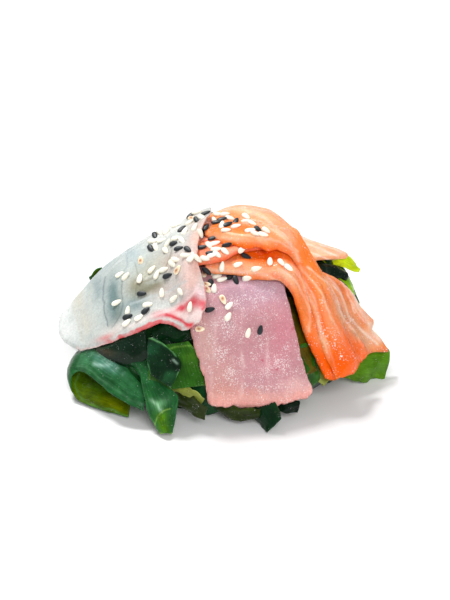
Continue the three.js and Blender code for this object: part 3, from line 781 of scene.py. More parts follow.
@dataclass(frozen=True)
class SliceCut:
    """Rule of one slice: the same sizes as in the part's source.

    Attributes:
        node: Name of its solid in the frame.
        thickness: Thickness of the slice.
        tips: Share of the thickness left at its start and its end.
        one: Points of the rail along its left or back edge.
        two: Points of the rail along its other edge.
        camber: How far it arches.
        bow: How far its start and its end bow out.
        pleats: Number of pleats across, and their depth.
        cells: Cells of the solid's grid, along and across.
        lip: How far its far edge bends down near the start.
    """

    node: str
    thickness: float
    tips: tuple[float, float]
    one: tuple[Point, ...]
    two: tuple[Point, ...]
    camber: float
    bow: tuple[float, float]
    pleats: tuple[float, float]
    cells: tuple[int, int]
    lip: float = 0.0

    EDGE_TAPER = 0.3
    PLEAT_DRIFT = 0.3
    FLAT_START = 0.12
    FLAT_END = 0.02
    LIP_SHARE = 0.6
    TIP = 0.25
    MAX_STEEP = 1.8

    def skin(self) -> np.ndarray:
        """Returns the grid of the slice before it settles, as the source has it."""
        u = np.linspace(0, 1, self.cells[0] + 1)
        v = np.linspace(0, 1, self.cells[1] + 1)[None, :, None]
        one, two = Rail(self.one), Rail(self.two)
        a, b = one.at(u)[:, None], two.at(u)[:, None]
        ahead = unit(mix(one.ahead(u)[:, None], two.ahead(u)[:, None], v))
        out = unit(np.cross(ahead, b - a))
        out *= np.where(out[..., 2:] > 0, 1, -1)
        along = u[:, None, None]
        arch = 4 * v * (1 - v)
        reach = self.bow[1] * along**4 - self.bow[0] * (1 - along) ** 4
        waves = np.sin(2 * np.pi * (self.pleats[0] * v + self.PLEAT_DRIFT * along))
        grown = np.sin(np.pi * mix(self.FLAT_START, 1 - self.FLAT_END, along))
        points = mix(a, b, v) + ahead * reach * arch
        far = np.maximum(0, (v - self.LIP_SHARE) / (1 - self.LIP_SHARE)) ** 2
        points[..., 2:] -= self.lip * np.maximum(0, 1 - along / self.LIP_SHARE) * far
        return points + out * (self.camber * arch + self.pleats[1] * waves) * grown

    def upright(self, skin: np.ndarray) -> np.ndarray:
        """Finds how thick the slice is straight up.

        Args:
            skin: Its grid.

        Returns:
            Thickness at each point of the grid.
        """
        edged = np.pad(skin, ((1, 1), (1, 1), (0, 0)), mode="edge")
        along = edged[2:, 1:-1] - edged[:-2, 1:-1]
        across = edged[1:-1, 2:] - edged[1:-1, :-2]
        steep = np.minimum(1 / np.abs(unit(np.cross(along, across))[..., 2]), self.MAX_STEEP)
        u = np.linspace(0, 1, len(skin))[:, None]
        start = mix(self.tips[0], 1, np.minimum(1, u / self.TIP))
        end = mix(1, self.tips[1], np.maximum(0, (u - 1 + self.TIP) / self.TIP))
        share = np.where(u < self.TIP, start, end) * np.ones(skin.shape[:2])
        for rim in (np.s_[0, :], np.s_[-1, :], np.s_[1:-1, 0], np.s_[1:-1, -1]):
            share[rim] *= 1 - self.EDGE_TAPER
        return self.thickness * share * steep


SLICE_CUTS = (
    SliceCut(
        "pink_fish_slice",
        2.8,
        (0.7, 1),
        (
            (-13, -15, 42), (-11.7, -28.3, 37), (-10, -37.5, 24.6), (-6.8, -41.5, 16.5),
            (-5.7, -43.8, 10.5),
        ),
        (
            (17, -11, 42.5), (19.2, -21.1, 38.6), (23, -31.5, 23.5), (25.3, -34.8, 17.5),
            (28.3, -38, 11),
        ),
        camber=1.5,
        bow=(0, 2.5),
        pleats=(2, 0.25),
        cells=(12, 7),
    ),
    SliceCut(
        "salmon_front_slice",
        3.2,
        (0.7, 1),
        (
            (-6.4, -20.5, 44.5), (4.4, -20.8, 44.3), (14, -21.3, 42), (21, -24, 36.5),
            (25.6, -29.6, 27.5), (32, -33.3, 15.2),
        ),
        (
            (-6, -7, 46), (6, -6.5, 45.5), (18, -6, 43), (28.5, -12, 36), (33.5, -19.5, 27),
            (38, -27.5, 15),
        ),
        camber=0.8,
        bow=(0, 2),
        pleats=(1.5, 0.35),
        cells=(15, 5),
    ),
    SliceCut(
        "salmon_small_flap",
        2,
        (0.6, 0.6),
        ((-13, -20, 42.5), (-1.6, -19.5, 45), (4.2, -15.6, 46), (15, -12, 44.5)),
        ((-13, -4, 44.5), (-1, -4, 46), (6, -5, 45.5), (16, -6, 44)),
        camber=0.4,
        bow=(0, 2),
        pleats=(1, 0.3),
        cells=(8, 4),
    ),
    SliceCut(
        "salmon_back_slice",
        2,
        (1, 0.8),
        ((10, 12, 45.6), (17.3, 10.3, 44.4), (27, 7.4, 41), (38, 7.6, 37.2)),
        ((14, -4, 44.5), (24, -7, 40.2), (31, -2.5, 39), (40, 4.5, 36.2)),
        camber=1,
        bow=(0, 2),
        pleats=(2, 0.5),
        cells=(9, 6),
    ),
    SliceCut(
        "salmon_flap",
        1.8,
        (0.8, 0.8),
        ((27.5, -10, 37), (34, -14.5, 28), (39.5, -18, 19.5), (44.5, -20.5, 11)),
        ((32, -6.5, 36), (39, -5, 31), (44.5, -8, 22.5), (53, -11.5, 9.5)),
        camber=0.6,
        bow=(0, -2),
        pleats=(2.5, 0.4),
        cells=(10, 6),
    ),
    SliceCut(
        "salmon_top_slice",
        3.2,
        (0.3, 1),
        (
            (-6.5, -6, 49), (2, -14.5, 46.8), (13, -16, 44.5), (21, -14, 42), (26, -21, 34.5),
            (30.5, -29.5, 22), (35.5, -34, 9),
        ),
        (
            (-8.5, 19, 45.5), (2.3, 22, 49), (14, 16.5, 47.8), (22.3, 2, 44.7), (29, -10.3, 36.5),
            (36.5, -16.5, 25), (48, -21.5, 11.5),
        ),
        camber=0.8,
        bow=(0, 1),
        pleats=(3, 0.45),
        cells=(17, 8),
        lip=4,
    ),
    SliceCut(
        "white_fish_slice",
        2,
        (0.7, 0.8),
        (
            (-4.5, 11.5, 46), (-16.5, 10, 43.8), (-31.5, 6.5, 36.8), (-44.2, 2.5, 28),
            (-55, -6, 19.2),
        ),
        (
            (-7.5, -39.5, 27.5), (-12.5, -37, 28.5), (-18.8, -31.6, 30.8), (-26.5, -31, 28),
            (-36.5, -27.6, 22.5), (-47, -22, 16.5),
        ),
        camber=1.8,
        bow=(-2, 3),
        pleats=(2, 0.3),
        cells=(12, 8),
    ),
)


@dataclass
class FishSlice:
    """One slice of raw fish, refined from its own solid in the frame.

    Its first edge is the one nearer the left or the back, and its second edge the other.

    Attributes:
        cut: Its rule.
        slot: The record's material slot.
        finish: Its material.
        ragged: How uneven its edges are.
        scallop: Depth and number of the scallops along its first edge, and share of the
            length that has them.
        thin: For each edge the width over which it thins out, and the share of the thickness
            left there.
        hem: How far its start stands out, at shares of the width.
        tail: How far its end stands out, in the same way.
        cling: How far its two long edges are let down, onto what lies under them.
        melt: Shares of the length between which its first edge begins to lie so close on what
            is under it that no step shows.
        flare: How far its first and its second edge stand out, at shares of the length.
        bulge: How far the flesh beside its second edge swells out, in the same way.
        shelter: How far beyond its rim it still presses leaves down.
    """

    cut: SliceCut
    slot: str
    finish: WetFlesh
    ragged: float = 0.3
    scallop: tuple[float, float, float] = (0.0, 0.0, 1.0)
    thin: tuple[tuple[float, float], tuple[float, float]] = ((1.2, 0.75), (1.2, 0.75))
    hem: Path = FLAT
    tail: Path = FLAT
    cling: tuple[float, float] = (0.0, 0.0)
    melt: tuple[float, float] = (1.0, 1.1)
    flare: tuple[Path, Path] = (FLAT, FLAT)
    bulge: Path = FLAT
    shelter: float = 1.2

    STEP = 0.34  # distance between points of the fine grid
    RELIEF = 0.12  # depth of the soft waves on the skin
    RIM_ROWS = 4
    TUCK = 0.35
    ROUNDED = 0.6  # how far the top's outermost points draw in, which rounds the rim
    NEAR = 0.05
    MELT_WIDTH = 9.0
    MELT_FALL = 0.35
    REACH = 3.0  # a slice further below than this does not carry an edge
    SKY = 5.0
    EVENED = 13  # rows over which the way down is evened out
    LOOSE_END = (0.86, 1.0)
    BULGE_FALL = 0.5
    EDGE_FALL = 9.0  # how soon what is done to a long edge fades across the width
    END_FALL = 12.0
    UNEVEN = ((1.0, 2.6), (0.5, 0.9))

    def settled(self) -> tuple[np.ndarray, np.ndarray]:
        """Reads where the solid lies and returns the fine top and bottom grids."""
        skin = self.cut.skin()
        co = np.array([p.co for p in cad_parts[self.cut.node].data.vertices]) / MM
        low = skin.copy()
        for i, j in np.ndindex(skin.shape[:2]):
            gap = np.max(np.abs(co[:, :2] - skin[i, j, :2]), axis=1)
            here = co[gap < max(self.NEAR, gap.min() + 1e-3)]
            low[i, j, 2] = here[:, 2].min()
        high = low.copy()
        high[..., 2] += self.cut.upright(skin)
        long = np.linalg.norm(np.diff(skin, axis=0), axis=-1).sum(0).max()
        wide = np.linalg.norm(np.diff(skin, axis=1), axis=-1).sum(1).max()
        counts = (int(long / self.STEP) + 1, int(wide / self.STEP) + 1)
        top, bottom = refine(high, counts), refine(low, counts)
        across = np.linspace(0, 1, counts[1]) * wide
        melted = smooth(*self.melt, np.linspace(0, 1, counts[0]))[:, None]
        share = np.ones(counts)
        for away, (width, left) in zip((across, across[::-1]), self.thin):
            share *= left + (1 - left) * np.sqrt(smooth(-0.3 * width, width, away))
        close = np.sqrt(smooth(-0.2, self.MELT_WIDTH, across))
        share = mix(share, np.minimum(share, close), melted)
        return mix(bottom, top, share[..., None]), bottom

    def drop(self, bottom: np.ndarray, below: list["LaidSlice"]) -> np.ndarray:
        """Finds how far the first edge comes down to lie on the slices under it.

        Args:
            bottom: Fine lower grid.
            below: The slices already in place.

        Returns:
            Millimetres for each row of the grid.
        """
        gaps = [0.0]
        for x, y, z in bottom[:, 0]:
            sky = Vector((x, y, z + self.SKY))
            hits = [laid.upper.ray_cast(sky, Vector((0, 0, -1)))[0] for laid in below]
            gap = min((z - hit.z for hit in hits if hit is not None), default=self.REACH)
            gaps.append(gap if gap < self.REACH else gaps[-1])
        padded = np.pad(gaps[1:], self.EVENED // 2, mode="edge")
        even = np.convolve(padded, np.ones(self.EVENED) / self.EVENED, "valid")
        u = np.linspace(0, 1, len(bottom))
        return even * smooth(*self.melt, u) * (1 - smooth(*self.LOOSE_END, u))

    def shaped(
        self, top: np.ndarray, bottom: np.ndarray, painter: "Painter", below: list["LaidSlice"]
    ) -> tuple[np.ndarray, np.ndarray]:
        """Gives the grids the slice's soft waves, scallops and uneven edges.

        Args:
            top: Fine upper grid.
            bottom: Fine lower grid.
            painter: What knows the lines that stand out.
            below: The slices already in place.

        Returns:
            The two grids, shaped.
        """
        rows, columns = top.shape[:2]
        u, v = np.linspace(0, 1, rows)[:, None], np.linspace(0, 1, columns)[None, :]
        across, ahead = (unit(np.gradient(top, axis=axis)) for axis in (1, 0))
        grain, flat = Grain(len(self.cut.node)), top.reshape(-1, 3)
        torn = (grain.layered(flat, *self.UNEVEN).reshape(rows, columns) - 1) * self.ragged
        near_one, near_two = (np.exp(-away * self.EDGE_FALL) for away in (v, 1 - v))
        near_start, near_end = (np.exp(-away * self.END_FALL) for away in (u, 1 - u))
        depth, count, length = self.scallop
        waves = (np.sin(2 * np.pi * count * u + 0.8) - 1) * (1 - smooth(length * 0.8, length, u))
        side = torn * (near_two - near_one) - depth * waves * near_one
        side += profile(self.flare[1], u) * near_two - profile(self.flare[0], u) * near_one
        ends = torn * (near_end - near_start)
        ends += profile(self.tail, v) * near_end - profile(self.hem, v) * near_start
        push = across * side[..., None] + ahead * ends[..., None]
        bulge = profile(self.bulge, u) * near_two**self.BULGE_FALL
        push += grid_normals(top) * bulge[..., None]
        push[..., 2] -= self.cling[0] * near_one**3 + self.cling[1] * near_two**3
        push[..., 2] -= self.drop(bottom + push, below)[:, None] * near_one**self.MELT_FALL
        swell = grain.at(flat + 40, 6.0) + 0.5 * grain.at(flat + 90, 2.2)
        skin = Skin(flat, np.repeat(u[:, 0], columns), np.tile(v[0], rows), 0 * swell)
        raised = self.RELIEF * swell + painter.relief(skin)
        raised = raised.reshape(rows, columns) * (1 - near_end)
        return top + push + grid_normals(top) * raised[..., None], bottom + push

    def sheltering(self, bottom: np.ndarray) -> BVHTree:
        """Returns the underside with a row added all round, a little beyond the rim.

        Args:
            bottom: Fine lower grid.

        Returns:
            The wider underside.
        """
        around = ((1, 1), (1, 1), (0, 0))
        held = np.pad(bottom, around, mode="edge")
        wide = np.pad(bottom, around, mode="reflect", reflect_type="odd")
        step = np.linalg.norm(wide[1:2, 1:-1] - wide[:1, 1:-1], axis=-1).mean()
        wide = mix(held, wide, self.shelter / step)
        rim = np.ones(wide.shape[:2], bool)
        rim[1:-1, 1:-1] = False
        wide[rim, 2] = held[rim, 2]
        quads = sheet_faces(*wide.shape[:2])
        return BVHTree.FromPolygons(wide.reshape(-1, 3).tolist(), quads.tolist())

    def made(self, painter: "Painter", below: list["LaidSlice"]) -> "LaidSlice":
        """Builds the piece.

        Args:
            painter: What gives its colours.
            below: The slices already in place.

        Returns:
            The piece and its surfaces.
        """
        top, bottom = self.shaped(*self.settled(), painter, below)
        rows, columns = top.shape[:2]
        for rim, inner in (
            (np.s_[0], np.s_[1]), (np.s_[-1], np.s_[-2]),
            (np.s_[:, 0], np.s_[:, 1]), (np.s_[:, -1], np.s_[:, -2]),
        ):
            top[rim] = mix(top[rim], top[inner], self.ROUNDED)
        points, faces, home, down = closed_shell(top, bottom, self.RIM_ROWS, self.TUCK)
        u = np.repeat(np.linspace(0, 1, rows), columns)[home]
        v = np.tile(np.linspace(0, 1, columns), rows)[home]
        skin = Skin(points, u, v, down)
        spread = np.stack([u * rows, v * columns], 1) * self.STEP * SHEET
        # the wet values mark where the painted glints, which stand in for highlights, lie thickest
        values = {"paint": painter.paint(skin), "wet": skin.blobs(painter.GLINT_PATCHES)}
        data = MeshData(points, faces, values, spread)
        name, node = self.cut.node + "_flesh", self.cut.node
        made = data.stand_in(name, self.finish.material(), node, self.slot)
        upper = BVHTree.FromPolygons(points.tolist(), faces.tolist())
        return LaidSlice(made, self.sheltering(bottom), upper)


@dataclass(frozen=True)
class LaidSlice:
    """A slice that is in place.

    Attributes:
        piece: Its object.
        lower: Its underside, for what lies under it.
        upper: Its whole surface, for what lies on it.
    """

    piece: bpy.types.Object
    lower: BVHTree
    upper: BVHTree


class Painter:
    """Gives a slice its colours."""

    # places where the painted glints, which stand in for highlights on the water, lie thickest
    GLINT_PATCHES: tuple[Blob, ...] = ()  # where water glints thickly

    def paint(self, skin: Skin) -> np.ndarray:
        """Returns the colour of each point in linear light."""
        raise NotImplementedError

    def relief(self, skin: Skin) -> np.ndarray:
        """Returns how far each point stands out, in millimetres."""
        return np.zeros(len(skin.points))


@dataclass(frozen=True)
class SalmonPainter(Painter):
    """Orange flesh with pale lines of fat along it.

    Attributes:
        flesh: Colour of the flesh.
        deep: Colour of its cut sides and thick end.
        fat: Colour of the lines.
        lines: Fat lines, each a path in pixels with its half width.
        deep_and_shaded: Deeper places: deeper flesh, and painted shade in the valleys under the slices
            above.
        pale: Paler places: paler flesh, and painted sheen and highlights.
        end: How much of the deep colour its cut end has.
        veil: Grey see-through places.
    """

    flesh: str
    deep: str
    fat: str
    lines: tuple[tuple[Path, float], ...] = ()
    deep_and_shaded: tuple[Blob, ...] = ()
    pale: tuple[Blob, ...] = ()
    end: float = 0.0
    veil: tuple[Blob, ...] = ()

    RIDGE = 0.22
    BESIDE = (-3, 2)  # pixels from a line of fat to the paler flesh beside it
    HALO_WIDTH = 3.2
    VEIL = "b98c72"
    HALO = "fbb07c"
    CUT_END = (0.84, 0.97)
    # places where the painted glints lie thickest
    GLINT_PATCHES = (
        (333, 338, 10, 22, 25), (346, 316, 5, 12, 40), (322, 330, 5, 12, 20),
        (340, 356, 14, 7, -10), (322, 300, 8, 5, -40), (258, 224, 22, 4, -20),
    )

    def fat_lines(self, skin: Skin) -> tuple[np.ndarray, np.ndarray]:
        """Finds the lines of fat and the paler flesh beside them.

        Args:
            skin: The slice's points.

        Returns:
            Strength of the lines, and of the flesh beside them.
        """
        uneven = 0.8 + 0.3 * Grain(6).at(skin.points, 2.5)
        sharp, soft = np.zeros((2, len(skin.points)))
        for path, width in self.lines:
            sharp = np.maximum(sharp, skin.stroke(path, width) * uneven)
            beside = tuple((x + self.BESIDE[0], y + self.BESIDE[1]) for x, y in path)
            soft = np.maximum(soft, skin.stroke(beside, self.HALO_WIDTH * width) * uneven)
        return sharp, soft

    def relief(self, skin: Skin) -> np.ndarray:
        """Returns how far each point stands out: the lines of fat are low ridges."""
        sharp, soft = self.fat_lines(skin)
        return self.RIDGE * (0.6 * sharp + soft)

    def paint(self, skin: Skin) -> np.ndarray:
        """Returns the colour of each point in linear light."""
        soft, fine = (Grain(5).at(skin.points, size) for size in (4.0, 1.1))
        deep, fat = colour(self.deep), colour(self.fat)
        shade = colour(self.flesh) * (1 + 0.1 * soft[:, None])
        # paler flesh, and painted sheen and highlights
        shade = skin.patched(shade, tuple((self.fat, *place) for place in self.pale))
        # deeper flesh, and painted shade in the valleys under the slices above
        shade = skin.patched(shade, tuple((self.deep, *place) for place in self.deep_and_shaded))
        uneven = 1 + 0.5 * soft
        shade = skin.patched(shade, tuple((self.VEIL, *place) for place in self.veil), uneven)
        side = smooth(0.05, 0.3, skin.down) * (1 - 0.35 * smooth(0.9, 1, skin.down))
        shade = mix(shade, deep, 0.6 * side[:, None])
        sharp, beside = self.fat_lines(skin)
        shade = mix(shade, colour(self.HALO), 0.4 * beside[:, None])
        shade = mix(shade, fat, np.clip(0.7 * sharp, 0, 0.9)[:, None])
        shade = mix(shade, fat, np.clip(0.08 * fine, 0, 1)[:, None])
        veiled = np.clip(uneven * skin.blobs(self.veil), 0, 1)
        last = self.end * smooth(*self.CUT_END, skin.u + 0.02 * soft) * (1 - veiled)
        return mix(shade, deep, last[:, None])


@dataclass(frozen=True)
class WhitePainter(Painter):
    """Clear white fish: grey-blue and cream muscle, dark seams, a red line at its edge, a painted
    highlight.
    """

    FLESH = "c6cdc9"
    RED_LINE = "d8303c"
    PINK_SIDE = "e6c2bc"
    RED_SIDE = "cc2832"
    CUT = "dca89e"
    PATCHES = (
        # the first patch paints the left end near white: a painted highlight where the light falls
        # full on it
        ("e2e4e2", 64, 312, 14, 40, 0, 1.0), ("c9c5b4", 80, 305, 6, 22, 10, 0.6),
        ("d6d2c4", 86, 328, 5, 14, 0, 0.6), ("a5b4b4", 90, 338, 8, 5, 0, 0.5),
        ("aabcbe", 104, 262, 22, 6, 42, 0.7), ("8b9fa0", 97, 288, 7, 14, 0, 0.7),
        ("748b8b", 113, 300, 8, 25, 0, 0.95), ("7b8478", 118, 312, 5, 12, 0, 0.5),
        ("6d868a", 133, 306, 13, 9, 25, 0.85), ("8e8a72", 138, 286, 12, 9, 20, 0.8),
        ("7e7f68", 152, 288, 18, 6, 25, 0.85), ("a39f86", 148, 268, 16, 12, 30, 0.6),
        ("b8a892", 166, 262, 10, 12, 30, 0.6), ("aebfc2", 134, 256, 10, 14, 30, 0.6),
        ("ecece8", 166, 228, 26, 10, 25, 0.9), ("e0c8c0", 184, 266, 15, 20, 30, 0.8),
        ("c8968a", 197, 262, 8, 20, 0, 0.7), ("e8baaa", 201, 238, 11, 22, 0, 0.85),
        ("cdb4ae", 170, 290, 20, 8, 25, 0.6), ("e6c0b6", 190, 284, 10, 9, 30, 0.8),
        ("ecd2cc", 184, 313, 22, 7, 5, 0.9), ("d5cfc9", 126, 326, 30, 7, 22, 0.8),
        ("e4485a", 180, 308, 10, 3.5, 35, 0.9), ("c80c30", 194, 300, 11, 8, 45, 1.0),
        ("dc2846", 203, 304, 6, 4.5, 0, 0.8), ("f4dade", 200, 293, 6, 4, -50, 0.9),
        ("f0d6d2", 180, 313, 14, 3, 0, 0.7), ("eccac6", 197, 318, 8, 5, 0, 0.9),
        ("d8485c", 161, 316, 9, 4, 15, 0.9), ("e06a68", 104, 339, 10, 3, 22, 0.6),
    )
    SEAMS = (
        ("566a70", ((105, 278), (103, 292), (104, 308), (108, 326)), 0.8, 0.6),
        ("5c6c6c", ((121, 278), (123, 296), (121, 310), (113, 326)), 0.8, 0.5),
        ("8ea2a6", ((129, 241), (127, 258), (122, 274)), 0.7, 0.5),
        ("73745e", ((134, 262), (139, 280), (136, 296)), 0.8, 0.4),
        ("80745e", ((172, 250), (168, 264), (156, 277), (138, 285)), 0.9, 0.5),
        ("c6d0d0", ((186, 280), (168, 290), (150, 297), (130, 305)), 1.2, 0.5),
        ("c6c2ac", ((150, 262), (144, 276), (136, 284)), 1.2, 0.4),
        ("c9c3b0", ((160, 256), (154, 270), (146, 280)), 1.0, 0.4),
        ("cfd2c8", ((92, 284), (90, 300), (93, 320), (96, 338)), 1.6, 0.4),
        ("c6c4b6", ((74, 300), (76, 320), (82, 340)), 1.4, 0.4),
        ("ecdcd8", ((200, 286), (178, 306), (152, 318), (130, 326)), 1.6, 0.5),
        ("d8483c", ((213, 212), (213, 226), (209, 240)), 0.8, 0.7),
        ("8a9088", ((96, 262), (112, 250), (130, 238)), 0.9, 0.5),
        ("cc1834", ((167, 316), (179, 319), (191, 324)), 2.2, 0.95),
        ("d8304a", ((207, 288), (209, 297), (207, 306), (203, 310)), 1.6, 0.8),
    )
    REDDER = ((158, 325, 14, 10, 0, 0.6), (118, 340, 20, 12, 0, 0.3))

    def paint(self, skin: Skin) -> np.ndarray:
        """Returns the colour of each point in linear light."""
        soft, rough, fine, finer, finest = (
            Grain(8).at(skin.points, size) for size in (5.0, 3.0, 1.4, 1.2, 0.7)
        )
        shade = colour(self.FLESH) * (1 + 0.07 * soft[:, None])
        shade = skin.patched(shade, self.PATCHES, 1 + 0.5 * soft)
        shade = skin.lined(shade, self.SEAMS)
        blots = rough + 0.6 * finer
        shown = 0.5 + 0.8 * blots + sum(skin.blob(*place) for place in self.REDDER)
        shown = np.clip(shown, 0, 1)
        ends = smooth(0.05, 0.12, skin.u) * (1 - smooth(0.78, 0.9, skin.u))
        edge = smooth(0.985, 0.998, skin.v + 0.012 * blots) * ends
        rim = smooth(0.1, 0.5, skin.down)
        side = rim * smooth(0.9, 0.97, skin.v)
        for code, share in (
            (self.RED_LINE, 0.8 * edge * shown),
            (self.PINK_SIDE, 0.8 * side),
            (self.RED_SIDE, 0.9 * side * ends * shown),
            (self.CUT, 0.8 * rim * (1 - smooth(0.02, 0.06, skin.u))),
        ):
            shade = mix(shade, colour(code), share[:, None])
        return shade * (1 + 0.045 * (fine + finest)[:, None])


@dataclass(frozen=True)
class PinkPainter(Painter):
    """Pink fish: purplish above, peach below, with pale seams and a paler cut side."""

    FLESH = "c58f95"
    FLECK = "c9808c"
    LOW_END = "f0b4a8"
    SIDE = "eea294"
    # places where the painted glints lie thickest
    GLINT_PATCHES = (
        (226, 330, 14, 12, 30), (218, 352, 8, 12, 0), (232, 368, 8, 14, 0), (276, 366, 16, 12, 0),
        (252, 296, 14, 5, 0), (266, 386, 24, 5, 0), (262, 340, 8, 10, 0), (236, 300, 8, 6, 0),
    )
    PATCHES = (
        # the first patch, at the top, and the pale one at the left edge are partly the flesh's own
        # paler colour and partly a painted sheen
        ("c8a4b4", 262, 288, 32, 16, 0, 0.9), ("b08a98", 232, 293, 18, 18, 0, 0.8),
        ("c49a9e", 222, 318, 16, 20, 0, 0.6), ("d2a8a2", 205, 345, 10, 30, 0, 0.9),
        ("cc9890", 222, 375, 16, 22, 0, 0.7), ("cd8f80", 218, 392, 18, 10, 0, 0.7),
        ("e2a090", 250, 396, 26, 7, 0, 0.6), ("d88592", 282, 332, 16, 24, 0, 0.6),
        ("d68a96", 272, 362, 16, 14, 0, 0.4), ("ecbcb8", 298, 386, 18, 8, 0, 0.7),
    )
    SEAMS = tuple(
        ("f3dad8", path, 1.6, 1.0)
        for path in (
            ((217, 318), (214, 345), (211, 372), (212, 395)),
            ((243, 285), (242, 320), (243, 355), (239, 398)),
            ((266, 335), (267, 365), (268, 392)),
        )
    )
    SPOTS = tuple(
        ("b3124a", x, y, 1.4, 1.2, 0, 0.8)
        for x, y in ((294, 328), (292, 330), (299, 346), (262, 361), (276, 370))
    )

    def paint(self, skin: Skin) -> np.ndarray:
        """Returns the colour of each point in linear light."""
        soft, rough, fine = (Grain(11).at(skin.points, size) for size in (4.0, 2.0, 0.7))
        shade = colour(self.FLESH) * (1 + 0.05 * soft[:, None])
        shade = skin.patched(shade, self.PATCHES)
        shade = skin.lined(shade, self.SEAMS, np.maximum(0.18 + 0.25 * rough, 0))
        shade = mix(shade, colour(self.FLECK), 0.25 * smooth(0.2, 0.7, -fine)[:, None])
        shade = skin.patched(shade, self.SPOTS)
        low = smooth(0.95, 0.99, skin.u + 0.01 * soft)
        shade = mix(shade, colour(self.LOW_END), 0.4 * low[:, None])
        return mix(shade, colour(self.SIDE), 0.6 * smooth(0.05, 0.3, skin.down)[:, None])


@dataclass(frozen=True)
class Heap:
    """Sizes of the wakame heap, the same as in the part's source."""

    centre: tuple[float, float] = (-2.5, 3.0)
    half_width: float = 47.5
    half_depth: float = 44.0
    waist: float = 9.0
    foot: float = 0.86
    height: float = 47.5
    fullness: float = 1.42
    steepness: float = 0.5
    dents: tuple[tuple[tuple[float, float], tuple[float, float], float], ...] = (
        ((3.0, -12.0), (20.0, 13.0), 9.0),
        ((-32.0, 24.0), (19.0, 17.0), 9.0),
    )

    def radius(self, x: np.ndarray, y: np.ndarray) -> np.ndarray:
        """Returns shares of the heap's radius at places in plan."""
        wide = (x - self.centre[0]) / self.half_width
        return np.hypot(wide, (y - self.centre[1]) / self.half_depth)

    def surface(self, x: np.ndarray, y: np.ndarray) -> np.ndarray:
        """Returns the height of the bare heap at places in plan."""
        r = np.minimum(1, self.radius(x, y))
        dome = (1 - r**self.fullness) ** self.steepness
        pressed = sum(
            depth * np.exp(-(((x - at[0]) / reach[0]) ** 2) - ((y - at[1]) / reach[1]) ** 2)
            for at, reach, depth in self.dents
        )
        return self.waist + (self.height - self.waist - pressed) * dome

    def outward(self, points: np.ndarray) -> np.ndarray:
        """Returns the heap's outward directions at points."""
        return unit(
            np.stack(
                [
                    (points[:, 0] - self.centre[0]) / self.half_width**2,
                    (points[:, 1] - self.centre[1]) / self.half_depth**2,
                    np.maximum(points[:, 2], 0) / self.height**2,
                ],
                1,
            )
        )


class Tone(Enum):
    """Colours of a leaf: the middle, the rims and the underside."""

    # The lighter rims are partly the thin edges' own colour and partly painted highlight; the yellower
    # underside is partly the leaf's own colour and partly painted light shining through it.
    BLACK_GREEN = ("06180c", "0a2812", "183010")
    DARK = ("092812", "103a18", "264610")
    DEEP = ("12421a", "1e5824", "45680a")
    GLOSSY = ("154422", "20602e", "587a06")
    MID = ("1e4a0e", "2c6012", "507410")
    LIGHT = ("4a7812", "5f8c18", "7c9a1c")
    BRIGHT = ("7cb008", "9acc0e", "b0d420")
    # a leaf lit from behind: partly its own yellow-green and partly painted light shining through it
    YELLOW = ("b4c810", "ccd81a", "d4dc28")
    OLIVE = ("222e06", "323e0a", "4a5612")
    MOSS = ("4f430a", "666c16", "4a5612")
    STEM = ("7c8436", "a0a852", "909450")


@dataclass(frozen=True)
class Leaf:
    """One cut leaf of wakame.

    Attributes:
        spine: Points along its middle.
        width: Width in its middle.
        twist: Degrees that it turns about its spine.
        curl: How far it curls across.
        tone: Its colours.
        tip: Share of its width left at its last end. Its first end keeps the usual share.
    """

    spine: tuple[Point, ...]
    width: float
    twist: float
    curl: float
    tone: Tone = Tone.DARK
    tip: float = 0.72

    START = tip


SHOWN_LEAVES = (
    Leaf(((-23, -30, 26), (-17, -31, 28), (-9, -31, 29)), 9, 0, 0.9, Tone.DARK),
    Leaf(((-17, -39, 12), (-11, -43, 11.5), (-7, -44, 9.2)), 3, 0, 0, Tone.STEM),
    Leaf(((-19, -36, 9.5), (-12, -43, 7.6), (-6, -45.5, 6.2)), 7, 20, 0.4, Tone.OLIVE),
    Leaf(((-4, -38, 6), (2, -43.5, 4.6), (11, -44, 4.2)), 5, 10, 0.5, Tone.OLIVE),
    Leaf(((7, -37, 7), (12, -43, 5), (15.5, -47.5, 2.4)), 9, 10, 0.5, Tone.DARK),
    Leaf(((14, -36, 7), (19.5, -40, 5.4), (23.5, -40, 4.6)), 5, 0, 0.4, Tone.BLACK_GREEN),
    Leaf(((19, -19, 33), (24, -28, 23), (28, -32.5, 13)), 10, 0, 0.7, Tone.MOSS),
    Leaf(((24, -24, 14), (29, -28.5, 11.5), (33, -30.5, 8.5)), 5, 10, 0.4, Tone.STEM),
    Leaf(((34, -14, 9), (44, -15, 7.5), (54, -12, 4)), 14, 5, 0.3, Tone.LIGHT),
    Leaf(((27, -5, 37), (34, 0, 34.5), (40.5, 2.5, 30.5)), 7, 0, 1.4, Tone.BLACK_GREEN),
    Leaf(((32, 8, 35), (39, 8, 33.2), (45, 7.5, 29.2)), 6, 30, 0.3, Tone.YELLOW, 0.1),
    Leaf(((34, 5, 31), (40, 3, 29), (43, 0, 24)), 6, 0, 0.4, Tone.BRIGHT),
    Leaf(((18, 12, 39), (29, 10, 36.5), (37, 8, 31), (41, 5, 22)), 10, 0, 0.5, Tone.DARK),
    Leaf(((-14, 16, 41), (-3, 19, 44.5), (8, 19.5, 44), (16, 16, 41)), 12, 10, 0.5, Tone.DARK),
    Leaf(((-36, 14, 25.5), (-42, 12.8, 26.4), (-45.8, 10.8, 24.6)), 5, 20, 0.4, Tone.GLOSSY, 0.4),
)


@dataclass(frozen=True)
class RibbonRails:
    """Shape of a broad leaf between two rails, the same as in the part's source.

    Attributes:
        one: Points of its first rail.
        two: Points of its second rail.
        camber: How far it arches between them.
    """

    one: tuple[Point, ...]
    two: tuple[Point, ...]
    camber: float


